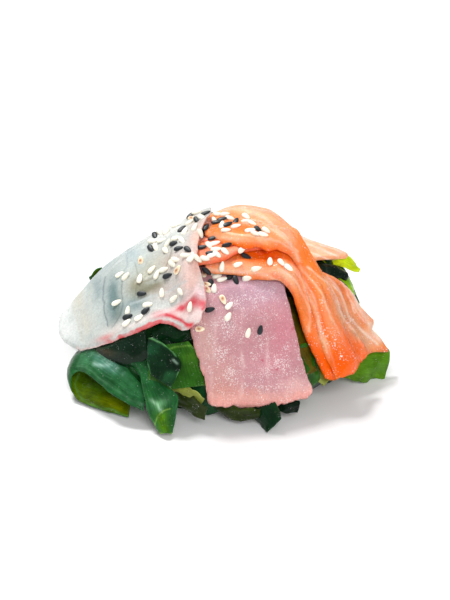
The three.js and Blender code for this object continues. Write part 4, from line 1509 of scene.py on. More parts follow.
RIBBON_RAILS = (
    RibbonRails(
        (
            (-24.7, -39, 10.5), (-28.9, -35.2, 13), (-34.6, -29.2, 16), (-40.6, -24, 17),
            (-45.5, -21, 15), (-49, -18.5, 12), (-50.5, -18.5, 9), (-48.5, -20.5, 8),
            (-42.5, -23.5, 7.5), (-36, -28, 6), (-30.5, -32.5, 4.4),
        ),
        (
            (-25.9, -43.5, 5.5), (-32.9, -41.2, 8), (-39.6, -35.2, 10), (-44, -30.2, 11),
            (-47.6, -27, 10.3), (-49.6, -26.6, 7.8), (-50, -27.8, 4.4), (-47.8, -30, 1.6),
            (-42, -34.3, 1.1), (-36.3, -37.5, 1.1), (-31, -39.9, 1.1),
        ),
        camber=0.8,
    ),
    RibbonRails(
        (
            (-32, -31.5, 15.2), (-27.7, -35.4, 15), (-26.3, -40, 12.2), (-25, -43.6, 7.8),
            (-23, -47.2, 3.8), (-20.1, -50.3, 1.1),
        ),
        (
            (-26, -33.6, 19), (-22, -36.5, 17), (-18.5, -41, 13.6), (-14.8, -43.5, 10.6),
            (-15.5, -46, 5.5), (-16.6, -50.3, 1.1),
        ),
        camber=1.2,
    ),
    RibbonRails(
        ((-25.3, -30.5, 27.5), (-32.8, -28.5, 24), (-38.8, -26, 20.5), (-43, -22, 17)),
        ((-23.7, -35, 20), (-28.9, -34, 16.5), (-34.3, -30.7, 14), (-39.7, -26.6, 13.5)),
        camber=0.8,
    ),
    RibbonRails(
        ((-21.9, -33, 22.5), (-23.7, -37, 19), (-24, -39.8, 15.5), (-23.4, -41.4, 11.5)),
        ((-11.6, -36, 26.5), (-9.1, -37.4, 23.5), (-7.6, -39.3, 19.5), (-5.7, -41.8, 14)),
        camber=0.6,
    ),
    RibbonRails(
        ((-24.4, -32, 25), (-24.9, -35.9, 22.5), (-24.2, -39.1, 20), (-23.2, -41.5, 17.4)),
        ((-22.4, -33.4, 26.5), (-18.3, -36.5, 25), (-13.8, -40, 20.5), (-17.2, -44.9, 15)),
        camber=0.5,
    ),
)


@dataclass(frozen=True)
class RibbonLook:
    """How a broad leaf is dressed.

    Attributes:
        tone: Its colours; the last of them shows on its hollow side.
        veins: Strength of the straight veins along it.
        patches: Soft patches, some of them painted sheen and highlights.
        lines: Rims and creases; some of them are painted highlights and glints.
        hollow_patches: The same for its hollow side.
        hollow_lines: The same for its hollow side.
    """

    tone: Tone
    veins: float
    patches: tuple[Patch, ...]
    lines: tuple[Line, ...]
    hollow_patches: tuple[Patch, ...] = ()
    hollow_lines: tuple[Line, ...] = ()


RIBBON_LOOKS = (
    RibbonLook(
        Tone.GLOSSY,
        0.5,
        (
            # the first two patches are a painted sheen on the ribbon's outer side
            ("5f9484", 106, 364, 17, 6, -28, 0.75), ("4c8a5e", 84, 362, 8, 8, 0, 0.5),
            ("2c6a3c", 130, 388, 16, 7, -40, 0.6), ("4a3c28", 104, 352, 9, 4, -8, 0.8),
            ("2a5c50", 118, 358, 6, 5, -40, 0.6),
        ),
        (
            # a painted glint, then a dark line along the lower rim with a painted highlight beside it
            ("a9c9bc", ((94, 364), (102, 366), (108, 365)), 2.0, 0.4),
            ("1d4a2a", ((76, 369), (88, 374), (102, 386), (120, 398), (140, 409)), 1.0, 0.7),
            ("5f946c", ((78, 366), (90, 370), (104, 382), (122, 394), (141, 405)), 1.6, 0.3),
            ("3f7a52", ((84, 358), (100, 372), (118, 384), (138, 396)), 0.7, 0.4),
            ("2a5a3a", ((100, 356), (114, 370), (128, 380), (141, 392)), 0.7, 0.5),
        ),
        (
            ("8a9604", 114, 405, 18, 5, -20, 0.9), ("1d3408", 94, 378, 14, 6, -20, 0.8),
            ("2f5a14", 92, 386, 16, 4, -25, 0.5), ("6e8a0c", 82, 394, 8, 8, 0, 0.6),
        ),
        (
            # a light line round the hollow's rim, partly the thin edge's own colour and partly painted
            # highlight
            ("5f8f3c", ((80, 370), (75, 382), (80, 396), (98, 407), (118, 413), (131, 417)), 1.0, 0.8),
            ("14300a", ((90, 374), (104, 381), (118, 388), (130, 396)), 1.0, 0.6),
            ("4d7a10", ((84, 386), (98, 391), (114, 396), (128, 402)), 0.8, 0.5),
        ),
    ),
    RibbonLook(
        Tone.GLOSSY,
        0.6,
        (
            # the first patch is a painted highlight where the leaf turns towards the light
            ("6aa672", 160, 403, 9, 5, 35, 0.6), ("2e7436", 150, 398, 6, 12, -15, 0.5),
            ("1f5a2c", 146, 372, 8, 8, 0, 0.6), ("4a7a06", 165, 424, 6, 12, -8, 1.0),
            ("3f7a2a", 152, 422, 4, 12, -20, 0.7),
        ),
        (
            # painted highlights along the fold's ridge and below it, then light rims round the curl
            # and the tip, partly the thin edge's own colour and partly painted highlight
            ("b4d2a8", ((124, 367), (131, 369), (137, 374), (140, 382)), 0.8, 0.8),
            ("9cc8a2", ((152, 400), (158, 405), (162, 410)), 2.4, 0.45),
            ("86b050", ((171, 409), (164, 412), (158, 419), (155, 426), (157, 434)), 0.9, 0.6),
            ("86b03a", ((157, 434), (165, 436), (172, 435)), 0.9, 0.7),
            ("1c4a20", ((142, 380), (145, 392), (148, 404), (154, 420)), 0.9, 0.5),
            ("3a5c04", ((160, 416), (164, 424), (168, 432)), 2.4, 0.6),
        ),
    ),
    RibbonLook(
        Tone.BLACK_GREEN,
        0.2,
        (("143020", 118, 348, 22, 8, 20, 0.6), ("4a3c24", 104, 351, 10, 4, -8, 0.6)),
        # a light rim, partly the thin edge's own colour and partly painted highlight
        (("31573c", ((100, 350), (122, 338), (145, 332)), 1.2, 0.5),),
    ),
    RibbonLook(
        Tone.MID,
        1.0,
        (
            ("1a3a12", 166, 384, 12, 8, 0, 0.6), ("4a7a1a", 192, 358, 8, 10, -15, 0.6),
            ("4a5a3c", 153, 384, 3, 8, 0, 0.6),
        ),
        (
            # light rims, partly the thin edges' own colour and partly painted highlight
            ("6f9a40", ((169, 350), (178, 346), (190, 345)), 1.0, 0.45),
            ("7c9a50", ((150, 391), (170, 392), (190, 388), (206, 385)), 0.8, 0.5),
        ),
    ),
    RibbonLook(
        Tone.BLACK_GREEN,
        0.15,
        (
            ("1f5c38", 154, 350, 5, 9, -30, 0.7), ("0b3018", 160, 364, 10, 12, 0, 0.7),
            ("2c6a3c", 170, 379, 8, 5, 30, 0.7),
        ),
        (
            # light rims, partly the thin edges' own colour and partly painted highlight, and a painted
            # glint
            ("5c9a5a", ((150, 338), (158, 342), (168, 348), (176, 356)), 0.9, 0.7),
            ("4a8452", ((147, 341), (146, 352), (148, 364), (151, 374)), 0.8, 0.7),
            ("6fae74", ((162, 384), (170, 387), (177, 382), (180, 374)), 0.8, 0.7),
            ("a4c4ae", ((173, 360), (178, 364)), 1.4, 0.4),
        ),
    ),
)


@dataclass(frozen=True)
class FallenRule:
    """Rule that spreads leaves which run down the heap.

    Attributes:
        count: How many.
        angles: Degrees round the heap between which they lie.
        top: Shares of the radius where they start.
        foot: Shares where they end.
        width: Their widths.
        swing: Degrees that they wander sideways.
        lift: How far they stand off the heap.
        curl: How far they curl across.
    """

    count: int
    angles: tuple[float, float]
    top: tuple[float, float]
    foot: tuple[float, float]
    width: tuple[float, float]
    swing: float
    lift: tuple[float, float]
    curl: tuple[float, float]


@dataclass(frozen=True)
class WetLeaf:
    """Finish of the leaves: wet and glossy, with fine veins along each leaf and painted glints.

    Attributes:
        name: Name of the material.
        tones: What veins and patches multiply the colour by.
        roughness: Roughness between the glints.
        glints: How much of the surface has painted glints, which stand in for highlights on the
        water, and how white they are.
        coat: Strength and roughness of the water on the leaves.
    """

    name: str = "wet_wakame"
    tones: tuple[float, float] = (0.7, 1.35)
    roughness: tuple[float, float] = (0.14, 0.4)
    glints: tuple[float, float] = (-1.0, 0.45)
    coat: tuple[float, float] = (0.22, 0.06)

    INNER = (0.35, 0.65)
    VEINS = ((0.4, 6.0), 6.0, 5.0)
    CELL = 0.8
    PATCH = 3.5
    DROPS = (1.5, 0.2)
    GLINT = 0.3
    SPREAD = (0.4, 1.0, 0.1)
    DEPTH = 0.6

    def material(self) -> bpy.types.Material:
        """Returns the material, made from nodes."""
        bench = Bench(self.name)
        paint = bench.painted("paint").outputs["Color"]
        veins = bench.fibres(*self.VEINS)
        cells = bench.noise(self.CELL, detail=2.0)
        patches = bench.noise(self.PATCH)
        drops = bench.drops(*self.DROPS)
        toned = bench.shaded(paint, veins, *self.tones)
        toned = bench.shaded(toned, patches, *self.tones)
        # painted glints that stand in for highlights on the wet leaves
        toned = bench.glinting(toned, self.GLINT, *self.glints)
        bench.set(
            Base_Color=toned,
            Roughness=bench.ranged(patches, self.INNER, self.roughness),
            Subsurface_Weight=0.08,
            Subsurface_Radius=self.SPREAD,
            Subsurface_Scale=self.DEPTH * MM,
            Specular_IOR_Level=0.08,
            Coat_Weight=self.coat[0],
            Coat_Roughness=self.coat[1],
        )
        bench.bumped(
            [(veins, 0.1, 0.7), (cells, 0.09, 0.8), (patches, 0.4, 0.7), (drops, 0.25, 0.9)]
        )
        return bench.material


@dataclass
class Wakame:
    """Heap of cut leaves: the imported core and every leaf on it.

    Attributes:
        heap: Sizes of the core.
        rules: Rules of the leaves that run down it.
        seed: Number that fixes the random draws, as in the source.
    """

    heap: Heap = field(default_factory=Heap)
    rules: tuple[FallenRule, ...] = (
        FallenRule(13, (-6, 190), (0.3, 0.65), (0.92, 1.02), (12, 19), 30, (0.2, 1.3), (-0.35, 0.4)),
        FallenRule(6, (215, 330), (0.9, 0.94), (0.88, 0.95), (11, 15), 6, (1, 1.4), (0.3, 0.9)),
    )
    seed: int = 38

    THICKNESS = 1.1
    HALF = THICKNESS * 0.42  # half a cut leaf's thickness as it is seen, finer than the solid's
    BROAD_HALF = THICKNESS * 0.38
    TWIST = 30.0
    STRAY = 0.6
    BEND = 0.5
    STEPS = (0.0, 0.4, 0.8, 1.0)
    STARTS = 6.0
    RUFFLE = 0.09
    WAVES = 9.0
    SKEW = 1.5
    CRINKLE = ((0.35, 4.5), (0.15, 1.8))  # depth and size of the leaves' small relief
    FOLD = (0.45, 5.0)
    FOLD_STRETCH = 0.35
    FULL_WIDTH = 12.0  # a narrower leaf has shallower relief
    BROAD_CRINKLE = ((0.3, 5.0), (0.12, 1.7))
    BROAD_EDGE = (0.3, 2.6)
    BROAD_ROWS = 28  # rows of points between two points of a rail
    BROAD_COLUMNS = 46
    VEINS = 7.0  # how close the veins of a broad leaf lie
    GRID = (50, 15)
    SCRAP_GRID = (18, 7)
    THINNED = 0.6  # share of the thickness that a leaf's edges lack
    RIM = 0.12
    # the cut edge's extra brightness is partly the thin edge's own lighter colour and partly painted
    # highlight
    CUT_EDGE_AND_HIGHLIGHT = 1.35  # how much brighter than its rims a leaf's cut edge is
    UNDER = 0.35  # gap left under a slice
    BELOW = -50.0  # a height under everything, where rays start upwards
    FLOOR_GAP = 0.05
    COVERED = ((102.0, 300.0), (180.0, 275.0))  # pixels across and down
    LOWERING = 0.5
    LOWERINGS = 14
    CORE_SECTORS = 300
    CORE_RINGS = 80
    CORE_FOOT = 12
    CORE_LAYERS = ((3.0, 9.0), (2.0, 4.0))
    CORE_TONES = ("0b1d10", "1c4420")
    DEEPEST = 2.2  # how far the core's relief goes in
    SCRAPS = 90
    SCRAP_ANGLES = (-20.0, 205.0)
    SCRAP_LENGTH = (9.0, 17.0)
    SCRAP_WIDTH = (4.5, 9.0)
    SCRAP_CURL = (0.2, 1.0)
    SCRAP_TWIST = (-25, 25)
    SCRAP_LIFT = 0.7
    SCRAP_ROOM = ((-4.0, 0.0, 0.0), (4.0, 0.0, 0.0), (0.0, 0.0, 3.0))
    SCRAP_TONES = (
        Tone.DARK, Tone.GLOSSY, Tone.MID, Tone.BLACK_GREEN, Tone.DEEP, Tone.OLIVE, Tone.DEEP,
    )

    def fallen(self, draw: Draw) -> list[Leaf]:
        """Spreads the leaves that run down the heap.

        Args:
            draw: The row of random numbers.

        Returns:
            The leaves.
        """
        tones = (Tone.DARK, Tone.DEEP, Tone.GLOSSY, Tone.DARK, Tone.MID, Tone.DEEP)
        leaves = []
        for rule in self.rules:
            for k in range(rule.count):
                share = (k + self.STRAY * (draw.next() - 0.5)) / (rule.count - 1)
                start = mix(*rule.angles, share)
                turn = rule.swing * (2 * draw.next() - 1)
                begin, end, off = (mix(*r, draw.next()) for r in (rule.top, rule.foot, rule.lift))
                spine = []
                for r, t in zip((begin, mix(begin, 1, self.BEND), 1, end), self.STEPS):
                    angle = math.radians(start + turn * t)
                    x = self.heap.centre[0] + self.heap.half_width * r * math.cos(angle)
                    y = self.heap.centre[1] + self.heap.half_depth * r * math.sin(angle)
                    z = float(self.heap.surface(x, y)) + off if t < 1 else self.THICKNESS
                    spine.append((x, y, z))
                twist = self.TWIST * (draw.next() - 0.5)
                width = mix(*rule.width, draw.next())
                curl = mix(*rule.curl, draw.next())
                leaves.append(Leaf(tuple(spine), width, twist, curl, tones[k % len(tones)]))
        return leaves

    def leaf_shell(
        self, skin: np.ndarray, half: np.ndarray, t: np.ndarray, v: np.ndarray, size: tuple
    ) -> tuple[Skin, np.ndarray, np.ndarray]:
        """Closes the middle of a leaf into a thin solid.

        Args:
            skin: Grid of points in its middle.
            half: Way from there to its upper face.
            t: Share of the way along it, for each row.
            v: Place across it, for each column.
            size: What t and v are multiplied by to give millimetres.

        Returns:
            What is known at its points, its faces, and its places on a flat sheet.
        """
        points, faces, home, down = closed_shell(skin + half, skin - half, 1, self.RIM)
        known = Skin(points, np.repeat(t, len(v))[home], np.tile(v, len(t))[home], down)
        return known, faces, np.stack([known.u * size[0], known.v * size[1]], 1) * SHEET

    def leaf_mesh(
        self, leaf: Leaf, phase: float, number: int, grid: tuple[int, int] = GRID
    ) -> MeshData:
        """Builds one leaf.

        Args:
            leaf: Its sizes.
            phase: Where its ruffles start.
            number: Its place in the row, which varies its small relief.
            grid: Rows of points along it and points across it.

        Returns:
            Its mesh, with its colours painted.
        """
        t, v = np.linspace(0, 1, grid[0]), np.linspace(-1, 1, grid[1])
        spine = Rail(leaf.spine)
        centre, ahead = spine.at(t), spine.ahead(t)
        side = unit(np.cross(ahead, self.heap.outward(centre)))
        turn = math.radians(leaf.twist)
        side = side * math.cos(turn) + np.cross(ahead, side) * math.sin(turn)
        out = unit(np.cross(side, ahead))
        ends = mix(leaf.START, leaf.tip, smooth(0.3, 0.7, t))
        half = (leaf.width / 2 * mix(ends, 1, np.sin(np.pi * t)))[:, None]
        angle = v * leaf.curl
        reach = np.sin(angle) / leaf.curl if leaf.curl else v
        sag = (1 - np.cos(angle)) / leaf.curl if leaf.curl else v * 0
        ruffle = self.RUFFLE * np.sin(phase + self.WAVES * t[:, None] + self.SKEW * v)
        away = (ruffle * leaf.width * v - half * sag)[..., None]
        skin = centre[:, None] + side[:, None] * (half * reach)[..., None] + out[:, None] * away
        flat, grain = skin.reshape(-1, 3), Grain(100 + number)
        whole = unit(spine.at(np.ones(1)) - spine.at(np.zeros(1)))[0]
        folded = flat + (flat @ whole * self.FOLD_STRETCH)[:, None]
        depth, size = self.FOLD
        crinkle = grain.layered(flat, *self.CRINKLE)
        crinkle += depth * (1 - 2 * np.abs(grain.at(folded, size)))
        rim = np.abs(v)[None, :] ** 3
        crinkle = crinkle.reshape(grid) * (0.6 + rim) * min(1, leaf.width / self.FULL_WIDTH)
        ragged = 0.5 * grain.at(flat + 60, 1.8).reshape(grid) * rim * np.sign(v)
        normal = unit(np.cross(np.gradient(skin, axis=0), np.gradient(skin, axis=1)))
        normal *= np.sign(np.sum(normal * out[:, None], -1, keepdims=True))
        skin = skin + normal * crinkle[..., None] + side[:, None] * ragged[..., None]
        thin = normal * (self.HALF * (1 - self.THINNED * rim))[..., None]
        length = np.linalg.norm(np.diff(centre, axis=0), axis=1).sum()
        known, faces, spread = self.leaf_shell(skin, thin, t, v, (length, leaf.width / 2))
        middle, rims, under = (colour(code) for code in leaf.tone.value)
        soft, down = grain.at(known.points, 5.0), known.down
        near_rim = np.clip(known.v**2 * 0.7 + 0.35 * soft, 0, 1)
        shade = mix(middle, rims, near_rim[:, None])
        shade = mix(shade, under, smooth(0.5, 0.9, down)[:, None])
        cut = smooth(0.1, 0.4, down) * (1 - smooth(0.6, 0.9, down))
        # the cut edge: partly its own lighter colour and partly painted highlight
        shade = mix(shade, rims * self.CUT_EDGE_AND_HIGHLIGHT, cut[:, None])
        return MeshData(known.points, faces, {"paint": shade}, spread)

    def ribbon_mesh(self, rails: RibbonRails, look: RibbonLook, number: int) -> MeshData:
        """Builds one broad leaf.

        Args:
            rails: Its shape.
            look: Its colours and veins.
            number: Its place in the row, which varies its small relief.

        Returns:
            Its mesh, with its colours painted.
        """
        one, two = Rail(rails.one), Rail(rails.two)
        grid = (self.BROAD_ROWS * (len(rails.one) - 1), self.BROAD_COLUMNS)
        t, v = np.linspace(0, 1, grid[0]), np.linspace(0, 1, grid[1])
        a, b = one.at(t)[:, None], two.at(t)[:, None]
        share = v[:, None]
        out = unit(np.cross(mix(one.ahead(t)[:, None], two.ahead(t)[:, None], share), b - a))
        skin = mix(a, b, share) + out * (rails.camber * 4 * share * (1 - share))
        flat, grain = skin.reshape(-1, 3), Grain(200 + number)
        rim = np.abs(2 * v - 1)[None, :] ** 4
        swell = grain.layered(flat, *self.BROAD_CRINKLE).reshape(grid) * (0.6 + 0.6 * rim)
        depth, size = self.BROAD_EDGE
        edge = depth * grain.at(flat + 30, size).reshape(grid) * rim * np.sign(2 * v - 1)
        skin = skin + out * swell[..., None] + unit(b - a) * edge[..., None]
        thin = out * (self.BROAD_HALF * (1 - self.THINNED * rim))[..., None]
        length = np.linalg.norm(np.diff(mix(a, b, 0.5)[:, 0], axis=0), axis=1).sum()
        width = np.linalg.norm(b - a, axis=-1).mean()
        known, faces, spread = self.leaf_shell(skin, thin, t, v, (length, width))
        middle, rims, under = (colour(code) for code in look.tone.value)
        soft = grain.at(known.points, 5.0)
        near_rim = np.clip(0.8 * np.abs(2 * known.v - 1) ** 6 + 0.3 + 0.35 * soft, 0, 1)
        shade = mix(middle, rims, near_rim[:, None])
        hollow = mix(under, under * 0.5, np.clip(0.4 + 0.7 * soft, 0, 1)[:, None])
        uneven = 0.9 + 0.5 * grain.at(known.points, 1.6)
        shade = known.lined(known.patched(shade, look.patches, uneven), look.lines, uneven)
        hollow = known.patched(hollow, look.hollow_patches, uneven)
        hollow = known.lined(hollow, look.hollow_lines, uneven)
        wander = 1.5 * grain.at(known.points, 6.0)
        veins = np.sin(known.v * width * self.VEINS + wander) * look.veins
        shade = shade * (1 + 0.14 * veins[:, None])
        shade = mix(shade, hollow, smooth(0.55, 0.9, known.down)[:, None])
        return MeshData(known.points, faces, {"paint": np.clip(shade, 0, 1)}, spread)

    def tucked(self, points: np.ndarray, slices: list[LaidSlice]) -> np.ndarray:
        """Presses what lies under a slice down to just below it, and onto the floor.

        Behind the back edge of the slices nothing stands out over them in the photograph.

        Args:
            points: Places in millimetres.
            slices: The slices in place.

        Returns:
            The places, moved.
        """
        moved = points.copy()
        up = Vector((0, 0, 1))
        for k, (x, y, z) in enumerate(points):
            for laid in slices:
                hit = laid.lower.ray_cast(Vector((x, y, self.BELOW)), up)[0]
                if hit is not None and moved[k, 2] > hit.z - self.UNDER:
                    moved[k, 2] = hit.z - self.UNDER
        moved[:, 2] = np.maximum(moved[:, 2], self.FLOOR_GAP)
        x, y = PhotoView.pixels(moved)
        (left, right), (top, bottom) = self.COVERED
        for k in np.flatnonzero((x > left) & (x < right) & (y > top) & (y < bottom)):
            for _ in range(self.LOWERINGS):
                away = moved[k] - PhotoView.EYE
                ray = Vector(PhotoView.EYE), Vector(unit(away)), float(np.linalg.norm(away))
                if moved[k, 1] < 0 or any(laid.upper.ray_cast(*ray)[0] for laid in slices):
                    break
                moved[k, 2] -= self.LOWERING
        return moved

    def scraps(self, below: MeshData, slices: list[LaidSlice]) -> list[Leaf]:
        """Scatters small cut leaves over the sides and the back, where the camera doesn't look.

        Args:
            below: The core and the leaves that they lie on.
            slices: The slices in place.

        Returns:
            The small leaves, each along a path on what lies below it.
        """
        draw = np.random.default_rng(self.seed)
        ground = BVHTree.FromPolygons(below.points.tolist(), below.faces.tolist())
        above = [laid.upper for laid in slices]
        found: list[Leaf] = []
        for k in range(self.SCRAPS):
            angle = math.radians(draw.uniform(*self.SCRAP_ANGLES))
            share = draw.uniform(0.35, 1.0) ** 0.6
            x = self.heap.centre[0] + self.heap.half_width * share * math.cos(angle)
            y = self.heap.centre[1] + self.heap.half_depth * share * math.sin(angle)
            middle = np.array([x, y, draw.uniform(4, 1 + float(self.heap.surface(x, y)))])
            out = self.heap.outward(middle[None])[0]
            away = draw.normal(size=3)
            step = unit(away - out * (away @ out)) * draw.uniform(*self.SCRAP_LENGTH) / 2
            spine = []
            for place in (middle - step, middle, middle + step):
                hit = ground.ray_cast(Vector(place + 20 * out), Vector(-out))[0]
                if hit is not None and self.hidden(np.array(hit), out, [*above, ground], above):
                    spine.append(tuple(np.array(hit) + self.SCRAP_LIFT * out))
            width, curl = draw.uniform(*self.SCRAP_WIDTH), draw.uniform(*self.SCRAP_CURL)
            if len(spine) == 3 and min(z for _, _, z in spine) > 1:
                tone = self.SCRAP_TONES[k % len(self.SCRAP_TONES)]
                twist = draw.uniform(*self.SCRAP_TWIST)
                found.append(Leaf(tuple(spine), width, twist, curl, tone))
        return found

    def hidden(
        self, place: np.ndarray, out: np.ndarray, screens: list[BVHTree], above: list[BVHTree]
    ) -> bool:
        """Tells whether what lies at a place stays out of the photograph's view.

        Args:
            place: The place in millimetres.
            out: Direction away from the heap there.
            screens: What may stand before it.
            above: What it must not lie under.

        Returns:
            Whether it is neither under a slice nor in the camera's view, with some room.
        """
        if any(tree.ray_cast(Vector(place + out), Vector((0, 0, 1)))[0] for tree in above):
            return False
        for x, y, z in self.SCRAP_ROOM:
            corner = place + 2 * out + np.array([x, y, z])
            sight = Vector(unit(PhotoView.EYE - corner))
            if not any(tree.ray_cast(Vector(corner), sight)[0] for tree in screens):
                return False
        return True

    def core_mesh(self) -> MeshData:
        """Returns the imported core: rings of points over the top, down the foot and underneath."""
        sectors, heap, steps = self.CORE_SECTORS, self.heap, self.CORE_FOOT
        dome = np.sin(np.pi / 2 * np.linspace(0.01, 1, self.CORE_RINGS))
        foot = np.linspace(1, heap.foot, steps)[1:]
        share = np.concatenate([dome, foot, [0.6, 0.3, 0.01]])[:, None]
        angle = np.linspace(0, 2 * np.pi, sectors, endpoint=False)
        x = heap.centre[0] + heap.half_width * share * np.cos(angle)
        y = heap.centre[1] + heap.half_depth * share * np.sin(angle)
        z = heap.surface(x, y)
        z[len(dome) :] = 0.0
        z[len(dome) : -4] = np.linspace(heap.waist, 0, steps)[1:-1, None]
        points = np.stack([x, y, z], -1).reshape(-1, 3)
        grain = Grain(3)
        layers = np.floor(grain.layered(points, *self.CORE_LAYERS))
        relief = 0.4 * layers + 0.5 * grain.at(points, 3.0) - 0.6
        relief[-4 * sectors :] = 0
        points = points + heap.outward(points) * np.clip(relief, -self.DEEPEST, 0)[:, None]
        quads = ring_faces(*x.shape)[:, [0, 3, 2, 1]]
        soft = grain.at(points, 4.0)[:, None]
        dark, light = (colour(code) for code in self.CORE_TONES)
        shade = mix(dark, light, np.clip(0.5 + 0.6 * soft, 0, 1))
        return MeshData(points, quads, {"paint": shade}, points[:, :2] * SHEET)

    def build(self, slices: list[LaidSlice]) -> list[bpy.types.Object]:
        """Builds the heap under the slices, in pieces that together replace its solid.

        Args:
            slices: The slices in place.

        Returns:
            The pieces.
        """
        draw = Draw(self.seed)
        leaves = [*SHOWN_LEAVES, *self.fallen(draw)]
        cut = [
            self.leaf_mesh(leaf, draw.next() * self.STARTS, k) for k, leaf in enumerate(leaves)
        ]
        broad = [
            self.ribbon_mesh(rails, look, k)
            for k, (rails, look) in enumerate(zip(RIBBON_RAILS, RIBBON_LOOKS))
        ]
        groups = {
            "wakame_core": self.core_mesh(),
            "wakame_broad_leaves": MeshData.joined(broad),
            "wakame_leaves": MeshData.joined(cut),
        }
        for data in groups.values():
            data.points = self.tucked(data.points, slices)
        small = self.scraps(MeshData.joined(list(groups.values())), slices)
        scraps = MeshData.joined(
            [
                self.leaf_mesh(leaf, float(k), 300 + k, self.SCRAP_GRID)
                for k, leaf in enumerate(small)
            ]
        )
        scraps.points = self.tucked(scraps.points, slices)
        groups["wakame_scraps"] = scraps
        wet = WetLeaf().material()
        return [data.stand_in(name, wet, "wakame", "wakame") for name, data in groups.items()]


@dataclass(frozen=True)
class DryHull:
    """Finish of the seeds: a dry hull with fine pits.

    Attributes:
        name: Name of the material.
        weight: Share of the light that goes inside.
        tones: What the pits multiply the colour by.
        roughness: Roughness in the pits and beside them.
        pits: Depth and strength of the pits.
    """

    name: str
    weight: float
    tones: tuple[float, float] = (0.88, 1.1)
    roughness: tuple[float, float] = (0.35, 0.55)
    pits: tuple[float, float] = (0.05, 0.8)

    SIZE = 0.35
    INNER = (0.3, 0.7)
    SPREAD = (1.0, 0.8, 0.5)
    DEPTH = 0.5

    def material(self) -> bpy.types.Material:
        """Returns the material, made from nodes."""
        bench = Bench(self.name)
        paint = bench.painted("paint").outputs["Color"]
        pits = bench.noise(self.SIZE)
        bench.set(
            Base_Color=bench.shaded(paint, pits, *self.tones),
            Roughness=bench.ranged(pits, self.INNER, self.roughness),
            Subsurface_Weight=self.weight,
            Subsurface_Radius=self.SPREAD,
            Subsurface_Scale=self.DEPTH * MM,
        )
        bench.bumped([(pits, *self.pits)])
        return bench.material


class SeedKind(Enum):
    """Kinds of sesame seed: name, colour, then colours of the spot in the middle and its core."""

    WHITE = ("sesame_white", "fcf6e4", "fffcf0", "fffcf0")
    BLACK = ("sesame_black", "23282b", "2c3235", "2c3235")
    TOASTED = ("sesame_toasted", "fdf1d4", "d8741c", "3c1206")


@dataclass
class Sesame:
    """Sesame seeds of one kind, each where the photograph shows it, lying on its slice.

    Attributes:
        kind: Which kind.
        places: For each seed its pixel from the left and the top, and the degrees that its
            length turns up from level.
        slices: What they lie on.
    """

    kind: SeedKind
    places: tuple[tuple[float, float, float], ...]
    slices: list[LaidSlice]

    LENGTH = 3.4
    WIDTH = 2.15
    HEIGHT = 1.1
    LEAN = 0.55  # how much a seed leans from its slice's normal towards the camera
    RINGS = 12
    SIDES = 14
    POINTED = 0.192  # how much slimmer a seed is towards its point
    SIZES = (0.92, 1.08)
    BRIGHTNESS = (0.9, 1.06)
    SPOT = 5.0  # how fast the spot in a seed's middle fades, and the core in the spot
    CORE = 16.0
    BEHIND = 0.15  # how far behind the middle they lie, as a share of half the length
    TILT = (-0.15, 0.15)
    RAISED = 0.42  # share of its height that a seed's middle lies above its slice

    def seed_mesh(self, draw: np.random.Generator) -> MeshData:
        """Builds one seed that lies flat with its point ahead.

        Args:
            draw: Random numbers.

        Returns:
            Its mesh.
        """
        turn = np.linspace(0, np.pi, self.RINGS)
        girth = np.sin(turn) ** 0.85 * (1 - self.POINTED * (1 - np.cos(turn)))
        around = np.linspace(0, 2 * np.pi, self.SIDES, endpoint=False)
        usual = np.array([self.LENGTH, self.WIDTH, self.HEIGHT])
        size = draw.uniform(*self.SIZES, 3) * usual / 2
        x = -np.cos(turn)[:, None] * np.ones(self.SIDES) * size[0]
        y = girth[:, None] * np.cos(around) * size[1]
        z = girth[:, None] * np.sin(around) * size[2]
        points = np.stack([x, y, z], -1).reshape(-1, 3)
        base, spot, core = (colour(code) for code in self.kind.value[1:])
        off = ((x / size[0] + self.BEHIND) ** 2 + (y / size[1]) ** 2).reshape(-1, 1)
        shade = mix(base, spot, np.exp(-self.SPOT * off)) * draw.uniform(*self.BRIGHTNESS)
        shade = mix(shade, core, 0.8 * np.exp(-self.CORE * off))
        return MeshData(points, ring_faces(self.RINGS, self.SIDES), {"paint": shade})

    def landing(self, x: float, y: float) -> tuple[np.ndarray, np.ndarray] | None:
        """Finds where the line of sight through a pixel meets a slice.

        Args:
            x: Pixels from the left.
            y: Pixels from the top.

        Returns:
            The place and the surface's normal, or None off the slices.
        """
        sight = PhotoView.line_of_sight(x, y)
        found = []
        for laid in self.slices:
            hit, normal, _, away = laid.upper.ray_cast(Vector(PhotoView.EYE), Vector(sight))
            if hit is not None:
                found.append((away, np.array(hit), np.array(normal)))
        if not found:
            return None
        _, hit, normal = min(found, key=lambda row: row[0])
        return hit, normal if normal @ sight < 0 else -normal

    def build(self) -> bpy.types.Object:
        """Lays the seeds.

        Returns:
            The piece that holds them all.
        """
        draw = np.random.default_rng(len(self.kind.value[0]))
        parts = []
        for x, y, turn in self.places:
            landed = self.landing(x, y)
            if landed is None:
                LOG.info("no slice under the seed at %s, %s", x, y)
                continue
            hit, normal = landed
            normal = unit(normal - self.LEAN * PhotoView.AHEAD)
            step = np.array([math.cos(math.radians(turn)), -math.sin(math.radians(turn))])
            sight = PhotoView.line_of_sight(x + step[0], y + step[1])
            reach = (hit - PhotoView.EYE) @ normal / (sight @ normal)
            ahead = PhotoView.EYE + sight * reach - hit
            ahead = unit(unit(ahead) + normal * draw.uniform(*self.TILT))
            side = unit(np.cross(normal, ahead))
            out = np.cross(ahead, side)
            seed = self.seed_mesh(draw)
            middle = hit + normal * self.HEIGHT * self.RAISED
            seed.points = seed.points @ np.stack([ahead, side, out]) + middle
            parts.append(seed)
        name = self.kind.value[0]
        hull = DryHull(name + "_hull", 0.0 if self.kind is SeedKind.BLACK else 0.25)
        made = MeshData.joined(parts).piece(name, hull.material())
        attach(made, "root")
        return made


